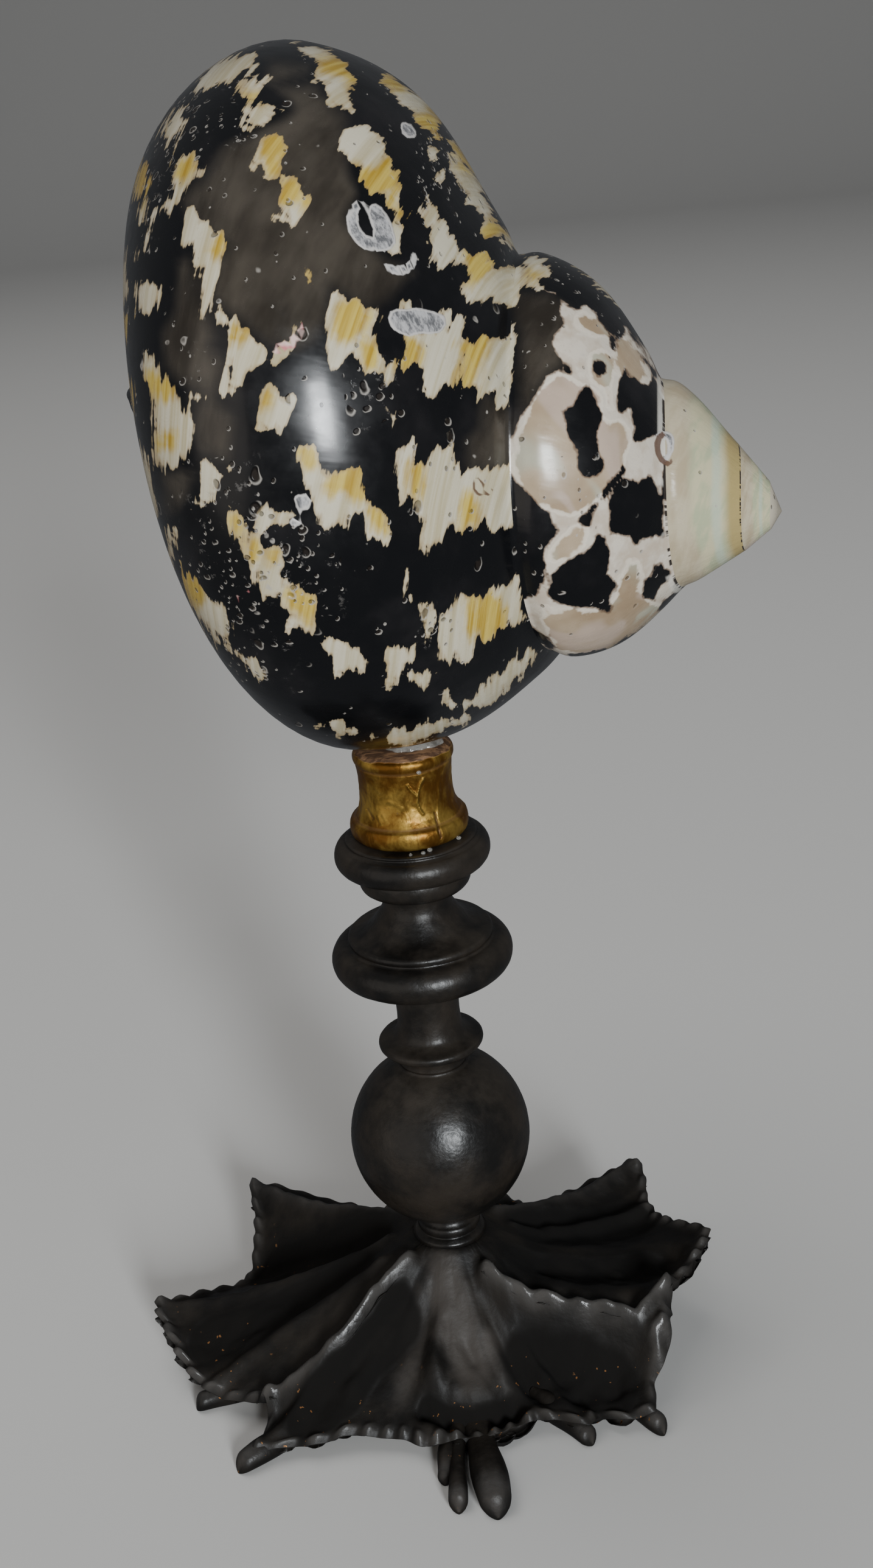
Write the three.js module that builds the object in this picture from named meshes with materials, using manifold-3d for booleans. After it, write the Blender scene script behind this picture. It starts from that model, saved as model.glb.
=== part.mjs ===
// West Indian top shell glued to a turned stand with a leaf-shaped foot.
// Millimetres, +Z up. The viewer of the front stands on the -Y side.
import * as THREE from 'three';
import { mergeVertices } from 'three/addons/utils/BufferGeometryUtils.js';
import Module from 'manifold-3d';

const wasm = await Module();
wasm.setup();

// ---- driving dimensions ----
const GAP = 0.3;                    // air between pieces that touch

// shell: depth is measured along its axis from the apex, radius from that axis,
// age in turns of growth, 0 where the last whorl passes over the top
const APEX = new THREE.Vector3(43.9, -11.6, 115.9);
const AXIS = new THREE.Vector3(0.959, -0.2456, -0.1434).normalize(); // base to apex
const SEAM_DEPTH = 30.9;            // upper seam of the last whorl, at age 0
const SEAM_RADIUS = 24.6;
const DEPTH_GROWTH = [0.693, -0.086];
const RADIUS_GROWTH = [0.602, -0.034];
const LIP_AGE = 0.25;               // the lip lies a quarter turn past the top
const FIRST_AGE = -3.6;             // the oldest whorls end in one small cap
const STEPS = 28;                   // rings in one turn
const CREST = [74.0, 25.0];         // depth and radius of the base's crest, at age 0
const RIM = [68.5, 7.8];            // edge of the umbilicus, at age 0
const MOUTH = { depth: 65.2, radius: 28.2, size: 17.6 };  // round mouth at the lip
// the hollow behind the mouth: turns back from the lip, and size there
const HOLLOW = [[0.012, 1.03], [0.06, 0.97], [0.12, 0.96], [0.18, 0.92], [0.225, 0.8], [0.25, 0.55]];

// stand
const COLLAR_BOTTOM = 77.6;
const COLLAR_TOP = 89.0;
const STEM_TOP = 77.3;
const STEM_BOTTOM = 19.3;
const FOOT_TOP = 19.0;
const SEGMENTS = 32;                // sides of a turned piece
const FOOT_NECK = 6.0;
const FOOT_THICKNESS = 2.4;
const FOOT_SHIFT = 0.5;             // the leaves reach a little further to the right

// leaf edge, one row each way round: azimuth in degrees, radius, height of the edge,
// height half way in
const LEAF = [
  [-170, 38.0, 3.6, 11.0], [-157, 35.5, 4.2, 13.0], [-144, 36.2, 2.6, 10.6],
  [-134, 28.5, 3.0, 9.6], [-120, 24.5, 3.4, 9.6], [-104, 24.5, 3.0, 10.6],
  [-89, 33.2, 2.6, 11.2], [-76, 23.5, 3.2, 10.0], [-64, 22.0, 3.2, 9.4],
  [-54, 27.0, 2.8, 9.0], [-41, 32.4, 2.6, 9.8], [-30, 29.0, 8.5, 13.6],
  [-18, 30.0, 12.6, 15.0], [3, 34.9, 14.0, 12.6], [20, 31.0, 10.0, 11.0],
  [38, 35.0, 11.5, 13.0], [60, 27.0, 4.4, 9.2], [92, 36.0, 2.6, 12.0],
  [115, 28.0, 5.0, 9.4], [137, 41.0, 10.0, 12.5], [152, 34.0, 7.0, 10.6],
  [163, 34.0, 5.4, 9.8], [176, 43.0, 8.0, 10.4],
];
const PADS = [[-144, 33.2], [-89, 30.2], [-41, 29.4], [92, 32.8]];  // azimuth, radius
const PAD_SIZE = 2.3;

// ---- helpers ----
const rad = THREE.MathUtils.degToRad;

function fromTriangles(points, faces) {
  const g = new THREE.BufferGeometry();
  g.setAttribute('position', new THREE.Float32BufferAttribute(points.flat(), 3));
  g.setIndex(faces.flat());
  g.computeVertexNormals();
  return g;
}

function solid(geometry) {
  let g = geometry.clone();
  g.deleteAttribute('normal');
  g.deleteAttribute('uv');
  g = mergeVertices(g, 1e-4);
  return new wasm.Manifold(new wasm.Mesh({
    numProp: 3,
    vertProperties: new Float32Array(g.attributes.position.array),
    triVerts: new Uint32Array(g.index.array),
  }));
}

function geometryOf(manifold) {
  const m = manifold.getMesh();
  const g = new THREE.BufferGeometry();
  g.setAttribute('position', new THREE.BufferAttribute(new Float32Array(m.vertProperties), 3));
  g.setIndex(new THREE.BufferAttribute(new Uint32Array(m.triVerts), 1));
  g.computeVertexNormals();
  return g;
}

function turned(profile) {
  const g = new THREE.LatheGeometry(profile.map(([r, z]) => new THREE.Vector2(r, z)), SEGMENTS);
  return g.rotateX(Math.PI / 2);    // the lathe's Y axis becomes +Z
}

// half-round bead on a turned profile, from its bottom to its top
function bead(r, bulge, z0, z1, n = 5) {
  const out = [];
  for (let k = 0; k <= n; k++) {
    const a = -Math.PI / 2 + Math.PI * k / n;
    out.push([r + bulge * Math.cos(a), (z0 + z1) / 2 + (z1 - z0) / 2 * Math.sin(a)]);
  }
  return out;
}

// ---- shell ----
const up = new THREE.Vector3(0, 0, 1).addScaledVector(AXIS, -AXIS.z).normalize();
const back = new THREE.Vector3().crossVectors(up, AXIS).normalize();
if (back.y < 0) back.negate();

function placed([depth, radius], age) {
  const a = 2 * Math.PI * age;
  return new THREE.Vector3().copy(APEX).addScaledVector(AXIS, -depth)
    .addScaledVector(up, radius * Math.cos(a)).addScaledVector(back, radius * Math.sin(a)).toArray();
}

// upper seam of the whorl of a given age; past age 0 growth pauses and picks up again
function seam(age) {
  const late = Math.max(age, 0), q = Math.sin(Math.PI * late / 1.1) ** 2;
  return [
    SEAM_DEPTH * Math.exp(DEPTH_GROWTH[0] * age + DEPTH_GROWTH[1] * age * age - 0.03 * q),
    SEAM_RADIUS * Math.exp(RADIUS_GROWTH[0] * age + RADIUS_GROWTH[1] * age * age - 0.078 * q
      + 0.012 * late),
  ];
}

const full = seam(1);
const sized = ([depth, radius], age) => {
  const s = seam(age + 1);
  return [depth * s[0] / full[0], radius * s[1] / full[1]];
};

function arc(p0, p1, p2, p3, n) {
  const c = new THREE.CubicBezierCurve(...[p0, p1, p2, p3].map((p) => new THREE.Vector2(...p)));
  return c.getPoints(n).map((p) => [p.x, p.y]);
}

const SPIRE = 8;                    // profile steps from seam to seam
const BASE = 10;                    // round the base, to the umbilicus
const HOLE = 4;                     // down inside the umbilicus
const LAST = SPIRE + BASE + HOLE;

// profile of one whorl: seam, shoulder, periphery, base crest, umbilicus edge, inner seam
function whorl(age) {
  const a = seam(age), b = seam(age + 1);
  const c = Math.hypot(b[0] - a[0], b[1] - a[1]);
  const t0 = rad(44), t1 = rad(6);
  const crest = sized(CREST, age), rim = sized(RIM, age), inner = sized(RIM, age - 1);
  const d = crest[0] - b[0];
  const shoulder = arc(a, [a[0] + 0.34 * c * Math.cos(t0), a[1] + 0.34 * c * Math.sin(t0)],
    [b[0] - 0.5 * c * Math.cos(t1), b[1] - 0.5 * c * Math.sin(t1)], b, SPIRE);
  const side = arc(b, [b[0] + 0.5 * d, b[1] + 0.3 * d * Math.tan(t1)],
    [crest[0], crest[1] + 0.5 * (b[1] - crest[1])], crest, BASE / 2);
  const floor = arc(crest, [crest[0], crest[1] - 0.5 * (crest[1] - rim[1])],
    [rim[0] + 0.5 * (crest[0] - rim[0]), rim[1] + 0.35 * (crest[1] - rim[1])], rim, BASE / 2);
  const wall = arc(rim, [rim[0] - 0.2 * (rim[0] - inner[0]), rim[1] - 0.5 * (rim[1] - inner[1])],
    [inner[0] + 0.3 * (rim[0] - inner[0]), inner[1] + 0.15 * (rim[1] - inner[1])], inner, HOLE);
  return [...shoulder, ...side.slice(1), ...floor.slice(1), ...wall.slice(1)];
}

function shellGeometry() {
  const first = Math.round(FIRST_AGE * STEPS), lip = Math.round(LIP_AGE * STEPS);
  const firstHole = lip - STEPS - Math.round(0.7 * STEPS);
  const points = [], faces = [], known = new Map(), rings = new Map();
  const add = (p) => points.push(p) - 1;
  const ring = (i) => {
    if (!rings.has(i)) rings.set(i, whorl(i / STEPS));
    return rings.get(i);
  };
  // the seams are shared: a whorl starts on the whorl before it
  const id = (i, j) => {
    if (j === 0 && i - STEPS >= first) return id(i - STEPS, SPIRE);
    if (j === LAST && i - STEPS >= firstHole) return id(i - STEPS, SPIRE + BASE);
    const key = i * 100 + j;
    if (!known.has(key)) known.set(key, add(placed(ring(i)[j], i / STEPS)));
    return known.get(key);
  };
  const quad = (a, b, c, d) => faces.push([a, b, c], [a, c, d]);
  for (let i = first; i < lip; i++) {
    for (let j = 0; j < LAST; j++) {
      const open = i >= lip - STEPS || j < SPIRE || (j >= SPIRE + BASE && i >= firstHole);
      if (open) quad(id(i, j), id(i + 1, j), id(i + 1, j + 1), id(i, j + 1));
    }
  }
  // cap at the apex
  const tip = add(placed([seam(first / STEPS)[0] * 0.15, 0], 0));
  for (let i = first; i < first + STEPS; i++) faces.push([id(i + 1, 0), id(i, 0), tip]);
  for (let j = 0; j < SPIRE; j++) faces.push([id(first, j), id(first, j + 1), tip]);
  // end of the umbilicus
  const well = add(placed([ring(firstHole)[LAST][0] * 0.9, 0], 0));
  for (let i = firstHole; i < firstHole + STEPS; i++) faces.push([id(i, LAST), id(i + 1, LAST), well]);
  for (let j = SPIRE + BASE; j < LAST; j++) faces.push([id(firstHole, j), id(firstHole, j + 1), well]);
  // lip: the new edge, then back along the older whorl
  const edge = [];
  for (let j = LAST; j >= 0; j--) edge.push([lip, j]);
  for (let j = SPIRE + 1; j < SPIRE + BASE; j++) edge.push([lip - STEPS, j]);
  const angles = edge.map(([i, j]) => Math.atan2(ring(i)[j][1] - MOUTH.radius, ring(i)[j][0] - MOUTH.depth));
  let outer = edge.map(([i, j]) => id(i, j));
  const lipSize = seam(LIP_AGE + 1);
  const band = (inner) => {
    outer.forEach((a, k) => {
      const m = (k + 1) % outer.length;
      quad(a, outer[m], inner[m], inner[k]);
    });
    outer = inner;
  };
  // the hollow runs back inside the last whorl, and ends rounded above the mouth
  HOLLOW.forEach(([turns, scale], k) => {
    const age = LIP_AGE - turns;
    const s = seam(age + 1), sd = s[0] / lipSize[0], sr = s[1] / lipSize[1];
    const size = MOUTH.size * scale;
    band(angles.map((t) => add(placed([(MOUTH.depth + size * Math.cos(t)) * sd,
      (MOUTH.radius + size * Math.sin(t)) * sr], age))));
    if (k === HOLLOW.length - 1) {
      const end = add(placed([MOUTH.depth * sd, MOUTH.radius * sr], age - 0.015));
      outer.forEach((a, m) => faces.push([a, outer[(m + 1) % outer.length], end]));
    }
  });
  return fromTriangles(points, faces);
}

// faces must point out: turn them over if the enclosed volume comes out negative
function outward(geometry) {
  const p = geometry.attributes.position, ix = geometry.index.array;
  const a = new THREE.Vector3(), b = new THREE.Vector3(), c = new THREE.Vector3();
  let volume = 0;
  for (let k = 0; k < ix.length; k += 3) {
    a.fromBufferAttribute(p, ix[k]);
    b.fromBufferAttribute(p, ix[k + 1]);
    c.fromBufferAttribute(p, ix[k + 2]);
    volume += a.dot(b.cross(c)) / 6;
  }
  if (volume < 0) for (let k = 0; k < ix.length; k += 3) [ix[k + 1], ix[k + 2]] = [ix[k + 2], ix[k + 1]];
  return geometry;
}

// ---- foot ----
// smooth closed interpolation of the leaf table at an azimuth in degrees
function leafAt(azimuth) {
  const n = LEAF.length;
  let k = LEAF.findIndex((row, m) => {
    const next = LEAF[(m + 1) % n][0] + (m === n - 1 ? 360 : 0);
    const x = azimuth < LEAF[0][0] ? azimuth + 360 : azimuth;
    return x >= row[0] && x < next;
  });
  if (k < 0) k = n - 1;
  const row = (m) => LEAF[(m + n) % n];
  const x = azimuth < LEAF[0][0] ? azimuth + 360 : azimuth;
  const next = row(k + 1)[0] + (k === n - 1 ? 360 : 0);
  const t = (x - row(k)[0]) / (next - row(k)[0]);
  const s = t * t * (3 - 2 * t);
  return [1, 2, 3].map((c) => row(k)[c] * (1 - s) + row(k + 1)[c] * s);
}

function footGeometry() {
  const AROUND = 60, OUT = 8;
  const points = [], faces = [];
  const add = (x, y, z) => points.push([x, y, z]) - 1;
  const grid = (under) => {
    const rows = [];
    for (let q = 0; q <= OUT; q++) {
      rows.push([]);
      for (let k = 0; k < AROUND; k++) {
        const azimuth = -170 + 360 * k / AROUND;
        const [radius, edge, mid] = leafAt(azimuth > 180 ? azimuth - 360 : azimuth);
        const s = q / OUT;
        const r = (FOOT_NECK - (under ? 1.6 : 0)) * (1 - s) + radius * s;
        const bend = 4 * (mid - (FOOT_TOP + edge) / 2);
        let z = FOOT_TOP * (1 - s) + edge * s + bend * s * (1 - s);
        if (under) z = Math.max(0.5, z - FOOT_THICKNESS * (1 + 0.8 * (1 - s)));
        rows[q].push(add(r * Math.cos(rad(azimuth)) + FOOT_SHIFT * s, r * Math.sin(rad(azimuth)), z));
      }
    }
    return rows;
  };
  const top = grid(false), low = grid(true);
  const topMid = add(0, 0, FOOT_TOP), lowMid = add(0, 0, FOOT_TOP - 5);
  const m = (k) => (k + 1) % AROUND;
  for (let k = 0; k < AROUND; k++) {
    faces.push([topMid, top[0][k], top[0][m(k)]], [lowMid, low[0][m(k)], low[0][k]]);
    for (let q = 0; q < OUT; q++) {
      const [a, b, c, d] = [top[q][k], top[q + 1][k], top[q + 1][m(k)], top[q][m(k)]];
      faces.push([a, b, c], [a, c, d]);
      const [e, f, g, h] = [low[q][k], low[q + 1][k], low[q + 1][m(k)], low[q][m(k)]];
      faces.push([e, g, f], [e, h, g]);
    }
    const [a, b, e, f] = [top[OUT][k], top[OUT][m(k)], low[OUT][k], low[OUT][m(k)]];
    faces.push([a, e, f], [a, f, b]);
  }
  let foot = solid(outward(fromTriangles(points, faces)));
  for (const [azimuth, radius] of PADS) {
    const pad = new THREE.CylinderGeometry(PAD_SIZE, PAD_SIZE, 2, 12).rotateX(Math.PI / 2)
      .translate(radius * Math.cos(rad(azimuth)) + FOOT_SHIFT, radius * Math.sin(rad(azimuth)), 1);
    foot = foot.add(solid(pad));
  }
  return geometryOf(foot);
}

// ---- turned pieces ----
const stemProfile = [
  [0, STEM_BOTTOM], [6.2, STEM_BOTTOM],
  ...bead(5.6, 0.9, 19.5, 20.8, 3), ...bead(5.1, 0.8, 21.0, 22.2, 3),
  ...bead(0, 11.7, 22.4, 46.2, 13).slice(2, -2),
  [4.3, 45.4], [4.4, 46.8], [5.0, 47.5], [6.5, 47.8], [6.7, 48.4], [5.9, 49.0],
  [4.8, 50.4], [4.3, 52.0], [4.3, 57.6],
  [8.6, 58.4], ...bead(9.4, 2.0, 58.6, 63.0, 5), ...bead(8.6, 0.5, 63.1, 64.2, 3),
  [6.2, 65.2], [5.0, 66.8], [4.3, 69.0], [4.3, 71.6],
  [7.4, 72.0], [7.8, 72.6], [7.6, 73.2], ...bead(8.4, 1.23, 73.3, 77.0, 4), [7.9, STEM_TOP], [0, STEM_TOP],
];
const collarProfile = [
  [0, COLLAR_BOTTOM], [6.9, COLLAR_BOTTOM], ...bead(6.75, 0.5, 77.7, 80.0, 4),
  [6.5, 80.2], [5.9, 81.3], [5.68, 82.6], [5.66, 84.2], [5.75, 85.6], [5.9, 87.0],
  ...bead(5.75, 0.4, 87.2, 88.6, 4), [5.2, COLLAR_TOP], [0, COLLAR_TOP],
];

const shellMesh = outward(shellGeometry());

// glue: a low mound on the collar, hollowed by the shell that sits in it
function glueGeometry() {
  const mound = turned([[0, COLLAR_TOP + GAP], [4.7, COLLAR_TOP + GAP], [5.1, COLLAR_TOP + 0.9],
    [5.0, COLLAR_TOP + 2.4], [4.2, COLLAR_TOP + 4.4], [0, COLLAR_TOP + 4.4]]);
  const shell = solid(shellMesh);
  const lowered = solid(shellMesh.clone().translate(0, 0, -GAP));
  return geometryOf(solid(mound).subtract(shell).subtract(lowered));
}

// ---- the group ----
const LOOKS = {
  shell: { color: 0x2b2d33, roughness: 0.22, metalness: 0 },
  glue: { color: 0xd9d6cc, roughness: 0.12, metalness: 0 },
  collar: { color: 0xb8842f, roughness: 0.42, metalness: 0.8 },
  stem: { color: 0x17140f, roughness: 0.38, metalness: 0 },
  foot: { color: 0x1b1712, roughness: 0.34, metalness: 0.2 },
};

const object = new THREE.Group();
function piece(name, geometry) {
  const mesh = new THREE.Mesh(geometry, new THREE.MeshStandardMaterial(LOOKS[name]));
  mesh.name = name;
  object.add(mesh);
}
piece('shell', shellMesh);
piece('glue', glueGeometry());
piece('collar', turned(collarProfile));
piece('stem', turned(stemProfile));
piece('foot', footGeometry());

// the origin is the middle of the footprint, on the surface that the foot stands on
const box = new THREE.Box3().setFromObject(object);
const middle = box.getCenter(new THREE.Vector3());
object.children.forEach((mesh) => mesh.position.set(-middle.x, -middle.y, -box.min.z));

export default object;
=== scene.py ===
"""A polished West Indian top shell glued to a turned black stand with a leaf foot.

Lengths are in millimetres while a piece is made and in metres once it is placed.
The shell has coordinates of its own: age, in turns of growth, which is 0 where the last
whorl passes over the top and grows towards the lip, and across, which runs 0 to 1 from
seam to seam, on to 2 over the side, 3 over the base and 4 down the umbilicus.
"""

import math
import random

import bmesh
import bpy
import numpy as np
from mathutils import Matrix, Vector, noise


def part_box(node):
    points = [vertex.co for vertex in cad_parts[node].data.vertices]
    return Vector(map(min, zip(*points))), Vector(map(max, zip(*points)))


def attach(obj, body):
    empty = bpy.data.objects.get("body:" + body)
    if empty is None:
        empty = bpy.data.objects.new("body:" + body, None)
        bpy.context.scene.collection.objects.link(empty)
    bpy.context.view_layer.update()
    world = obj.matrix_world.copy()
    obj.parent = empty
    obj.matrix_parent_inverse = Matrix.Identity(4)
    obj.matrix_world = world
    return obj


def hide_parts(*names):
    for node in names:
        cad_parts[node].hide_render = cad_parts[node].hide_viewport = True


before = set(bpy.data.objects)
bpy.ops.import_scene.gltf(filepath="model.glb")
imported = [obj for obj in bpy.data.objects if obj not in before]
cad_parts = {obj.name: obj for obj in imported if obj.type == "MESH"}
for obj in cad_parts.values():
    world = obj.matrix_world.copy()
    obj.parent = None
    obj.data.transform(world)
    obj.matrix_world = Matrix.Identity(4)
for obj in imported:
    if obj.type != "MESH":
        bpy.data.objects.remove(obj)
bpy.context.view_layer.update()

MM = 0.001
TURN = 2 * math.pi

# the stem's axis stands in the middle of the collar
collar_low, collar_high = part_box("collar")
STEM_X = (collar_low.x + collar_high.x) / 2 / MM
STEM_Y = (collar_low.y + collar_high.y) / 2 / MM

# ---- shell dimensions, as in the solid ----
APEX = Vector((43.9 + STEM_X, -11.6 + STEM_Y, 115.9))
AXIS = Vector((0.959, -0.2456, -0.1434)).normalized()
UP = (Vector((0, 0, 1)) - AXIS * AXIS.z).normalized()
BACK = UP.cross(AXIS).normalized()
SEAM_DEPTH, SEAM_RADIUS = 30.9, 24.6
LIP_AGE, FIRST_AGE = 0.25, -3.6
RINGS = 300                       # rings in one turn
CREST, RIM = (74.0, 25.0), (68.5, 7.8)
MOUTH_DEPTH, MOUTH_RADIUS, MOUTH_SIZE = 65.2, 28.2, 17.6
HOLE_TURNS = 0.7
SHOULDER, SIDE, FLOOR, WALL = 46, 16, 16, 6    # columns across each part of the profile
COLUMNS = SHOULDER + SIDE + FLOOR + WALL
SHOULDER_SLOPE, SIDE_SLOPE = math.radians(44), math.radians(6)
# how fast depth and radius of the seam grow, how growth slows, and what the pause takes off
DEPTH_GROWTH, DEPTH_SLOWING, DEPTH_PAUSE = 0.693, 0.086, 0.03
RADIUS_GROWTH, RADIUS_SLOWING, RADIUS_PAUSE, RADIUS_LATE = 0.602, 0.034, 0.078, 0.012
PAUSE_TURNS = 1.1
# the groove along the seam: its depth, the age it starts at, and the turns in which it comes and goes
GROOVE_DEPTH, GROOVE_START, GROOVE_COMES, GROOVE_GOES = 0.75, -1.9, 1.2, 0.12
GROOVE_WIDTH_BELOW, GROOVE_WIDTH_ABOVE = 1.9, 1.2
# whorls older than this are ground to a plain cone, little by little over these turns
PLAIN_AGE, PLAIN_TURNS = -1.6, 0.6
TIP_GROWTH = (-3.43, 0.5)         # age and place across that the closed tip takes its colour from
LIP_ROUNDING = 0.03               # turns behind the lip in which its edge rounds into the hollow


# ---- placing pieces ----
def settle(mesh_data, name, material, nodes=()):
    """Makes a finished mesh in millimetres a piece in metres that rides on the body."""
    bmesh.ops.scale(mesh_data, vec=(MM, MM, MM), verts=mesh_data.verts)
    mesh = bpy.data.meshes.new(name)
    mesh_data.to_mesh(mesh)
    mesh_data.free()
    mesh.shade_smooth()
    piece = bpy.data.objects.new(name, mesh)
    bpy.context.scene.collection.objects.link(piece)
    mesh.materials.append(material)
    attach(piece, "root")
    if nodes:
        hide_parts(*nodes)
    return piece


# ---- the shell's surface ----
def seam(age):
    """Depth and radius of the upper seam; past age 0 growth pauses and picks up again."""
    late = max(age, 0)
    pause = math.sin(math.pi * late / PAUSE_TURNS) ** 2
    return (SEAM_DEPTH * math.exp(DEPTH_GROWTH * age - DEPTH_SLOWING * age * age - DEPTH_PAUSE * pause),
            SEAM_RADIUS * math.exp(RADIUS_GROWTH * age - RADIUS_SLOWING * age * age
                                   - RADIUS_PAUSE * pause + RADIUS_LATE * late))


FULL = seam(1)                    # where the lower seam of the last whorl lies at age 0


def groove(age):
    """Depth of the groove along the upper seam: ground away on the spire, and gone at the lip."""
    return (GROOVE_DEPTH * min(1, max(0, (age - GROOVE_START) / GROOVE_COMES))
            * min(1, max(0, (LIP_AGE - age) / GROOVE_GOES)))


def sized(pair, age):
    """A depth and radius of the full-grown whorl, at the size that it has at this age."""
    now = seam(age + 1)
    return (pair[0] * now[0] / FULL[0], pair[1] * now[1] / FULL[1])


def placed(depth, radius, age):
    """The point at this depth below the apex and this radius from the axis."""
    return (APEX - AXIS * depth + UP * (radius * math.cos(TURN * age))
            + BACK * (radius * math.sin(TURN * age)))


def arc(p0, p1, p2, p3, count):
    """Points of a cubic curve in depth and radius."""
    out = []
    for k in range(count + 1):
        s = k / count
        w = ((1 - s) ** 3, 3 * (1 - s) ** 2 * s, 3 * (1 - s) * s * s, s ** 3)
        out.append(tuple(w[0] * a + w[1] * b + w[2] * c + w[3] * d
                         for a, b, c, d in zip(p0, p1, p2, p3)))
    return out


def whorl(age):
    """Profile of one whorl: shoulder, side, base and the wall of the umbilicus."""
    a, b = seam(age), seam(age + 1)
    chord = math.hypot(b[0] - a[0], b[1] - a[1])
    crest, rim, inner = sized(CREST, age), sized(RIM, age), sized(RIM, age - 1)
    d = crest[0] - b[0]
    near_a = (a[0] + 0.34 * chord * math.cos(SHOULDER_SLOPE), a[1] + 0.34 * chord * math.sin(SHOULDER_SLOPE))
    near_b = (b[0] - 0.5 * chord * math.cos(SIDE_SLOPE), b[1] - 0.5 * chord * math.sin(SIDE_SLOPE))
    flat = min(1, max(0, (PLAIN_AGE - age) / PLAIN_TURNS))
    third = [(a[k] * (1 - t) + b[k] * t) for t in (1 / 3, 2 / 3) for k in (0, 1)]
    near_a = tuple(n * (1 - flat) + m * flat for n, m in zip(near_a, third[:2]))
    near_b = tuple(n * (1 - flat) + m * flat for n, m in zip(near_b, third[2:]))
    shoulder = arc(a, near_a, near_b, b, SHOULDER)
    side = arc(b, (b[0] + 0.5 * d, b[1] + 0.3 * d * math.tan(SIDE_SLOPE)),
               (crest[0], crest[1] + 0.5 * (b[1] - crest[1])), crest, SIDE)
    floor = arc(crest, (crest[0], crest[1] - 0.5 * (crest[1] - rim[1])),
                (rim[0] + 0.5 * (crest[0] - rim[0]), rim[1] + 0.35 * (crest[1] - rim[1])), rim, FLOOR)
    wall = arc(rim, (rim[0] - 0.2 * (rim[0] - inner[0]), rim[1] - 0.5 * (rim[1] - inner[1])),
               (inner[0] + 0.3 * (rim[0] - inner[0]), inner[1] + 0.15 * (rim[1] - inner[1])), inner, WALL)
    for k, (depth, radius) in enumerate(shoulder):
        below, above = math.dist((depth, radius), a), math.dist((depth, radius), b)
        dent = (groove(age) * math.exp(-(below / GROOVE_WIDTH_BELOW) ** 2)
                + groove(age + 1) * math.exp(-(above / GROOVE_WIDTH_ABOVE) ** 2))
        shoulder[k] = (depth + 0.35 * dent, radius - dent)
    return shoulder + side[1:] + floor[1:] + wall[1:]


def across_of(column):
    """Place across the whorl of a profile column, 0 to 4."""
    for start, count in ((0, SHOULDER), (1, SIDE), (2, FLOOR), (3, WALL)):
        if column <= count:
            return start + column / count
        column -= count
    return 4.0


def open_loops(mesh_data):
    """The mesh's open edges, as connected loops, always in the same order."""
    mesh_data.edges.index_update()
    left = {edge.index: edge for edge in mesh_data.edges if edge.is_boundary}
    loops = []
    while left:
        loop, front = [], [next(iter(left.values()))]
        while front:
            edge = front.pop()
            if left.pop(edge.index, None) is None:
                continue
            loop.append(edge)
            front += [e for v in edge.verts for e in v.link_edges if e.index in left]
        loops.append(loop)
    return loops


def depth_of(point):
    """Depth of a point below the apex, along the shell's axis."""
    return (APEX - point).dot(AXIS)


def radius_of(point):
    return (point - APEX + AXIS * depth_of(point)).length


def mean_over(loop, measure):
    return np.mean([measure(v.co) for e in loop for v in e.verts])


def close_to_point(mesh_data, loop, point):
    """Closes an open loop with a fan that meets in a point."""
    made = bmesh.ops.extrude_edge_only(mesh_data, edges=loop)["geom"]
    tips = [v for v in made if isinstance(v, bmesh.types.BMVert)]
    bmesh.ops.pointmerge(mesh_data, verts=tips, merge_co=point)


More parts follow.
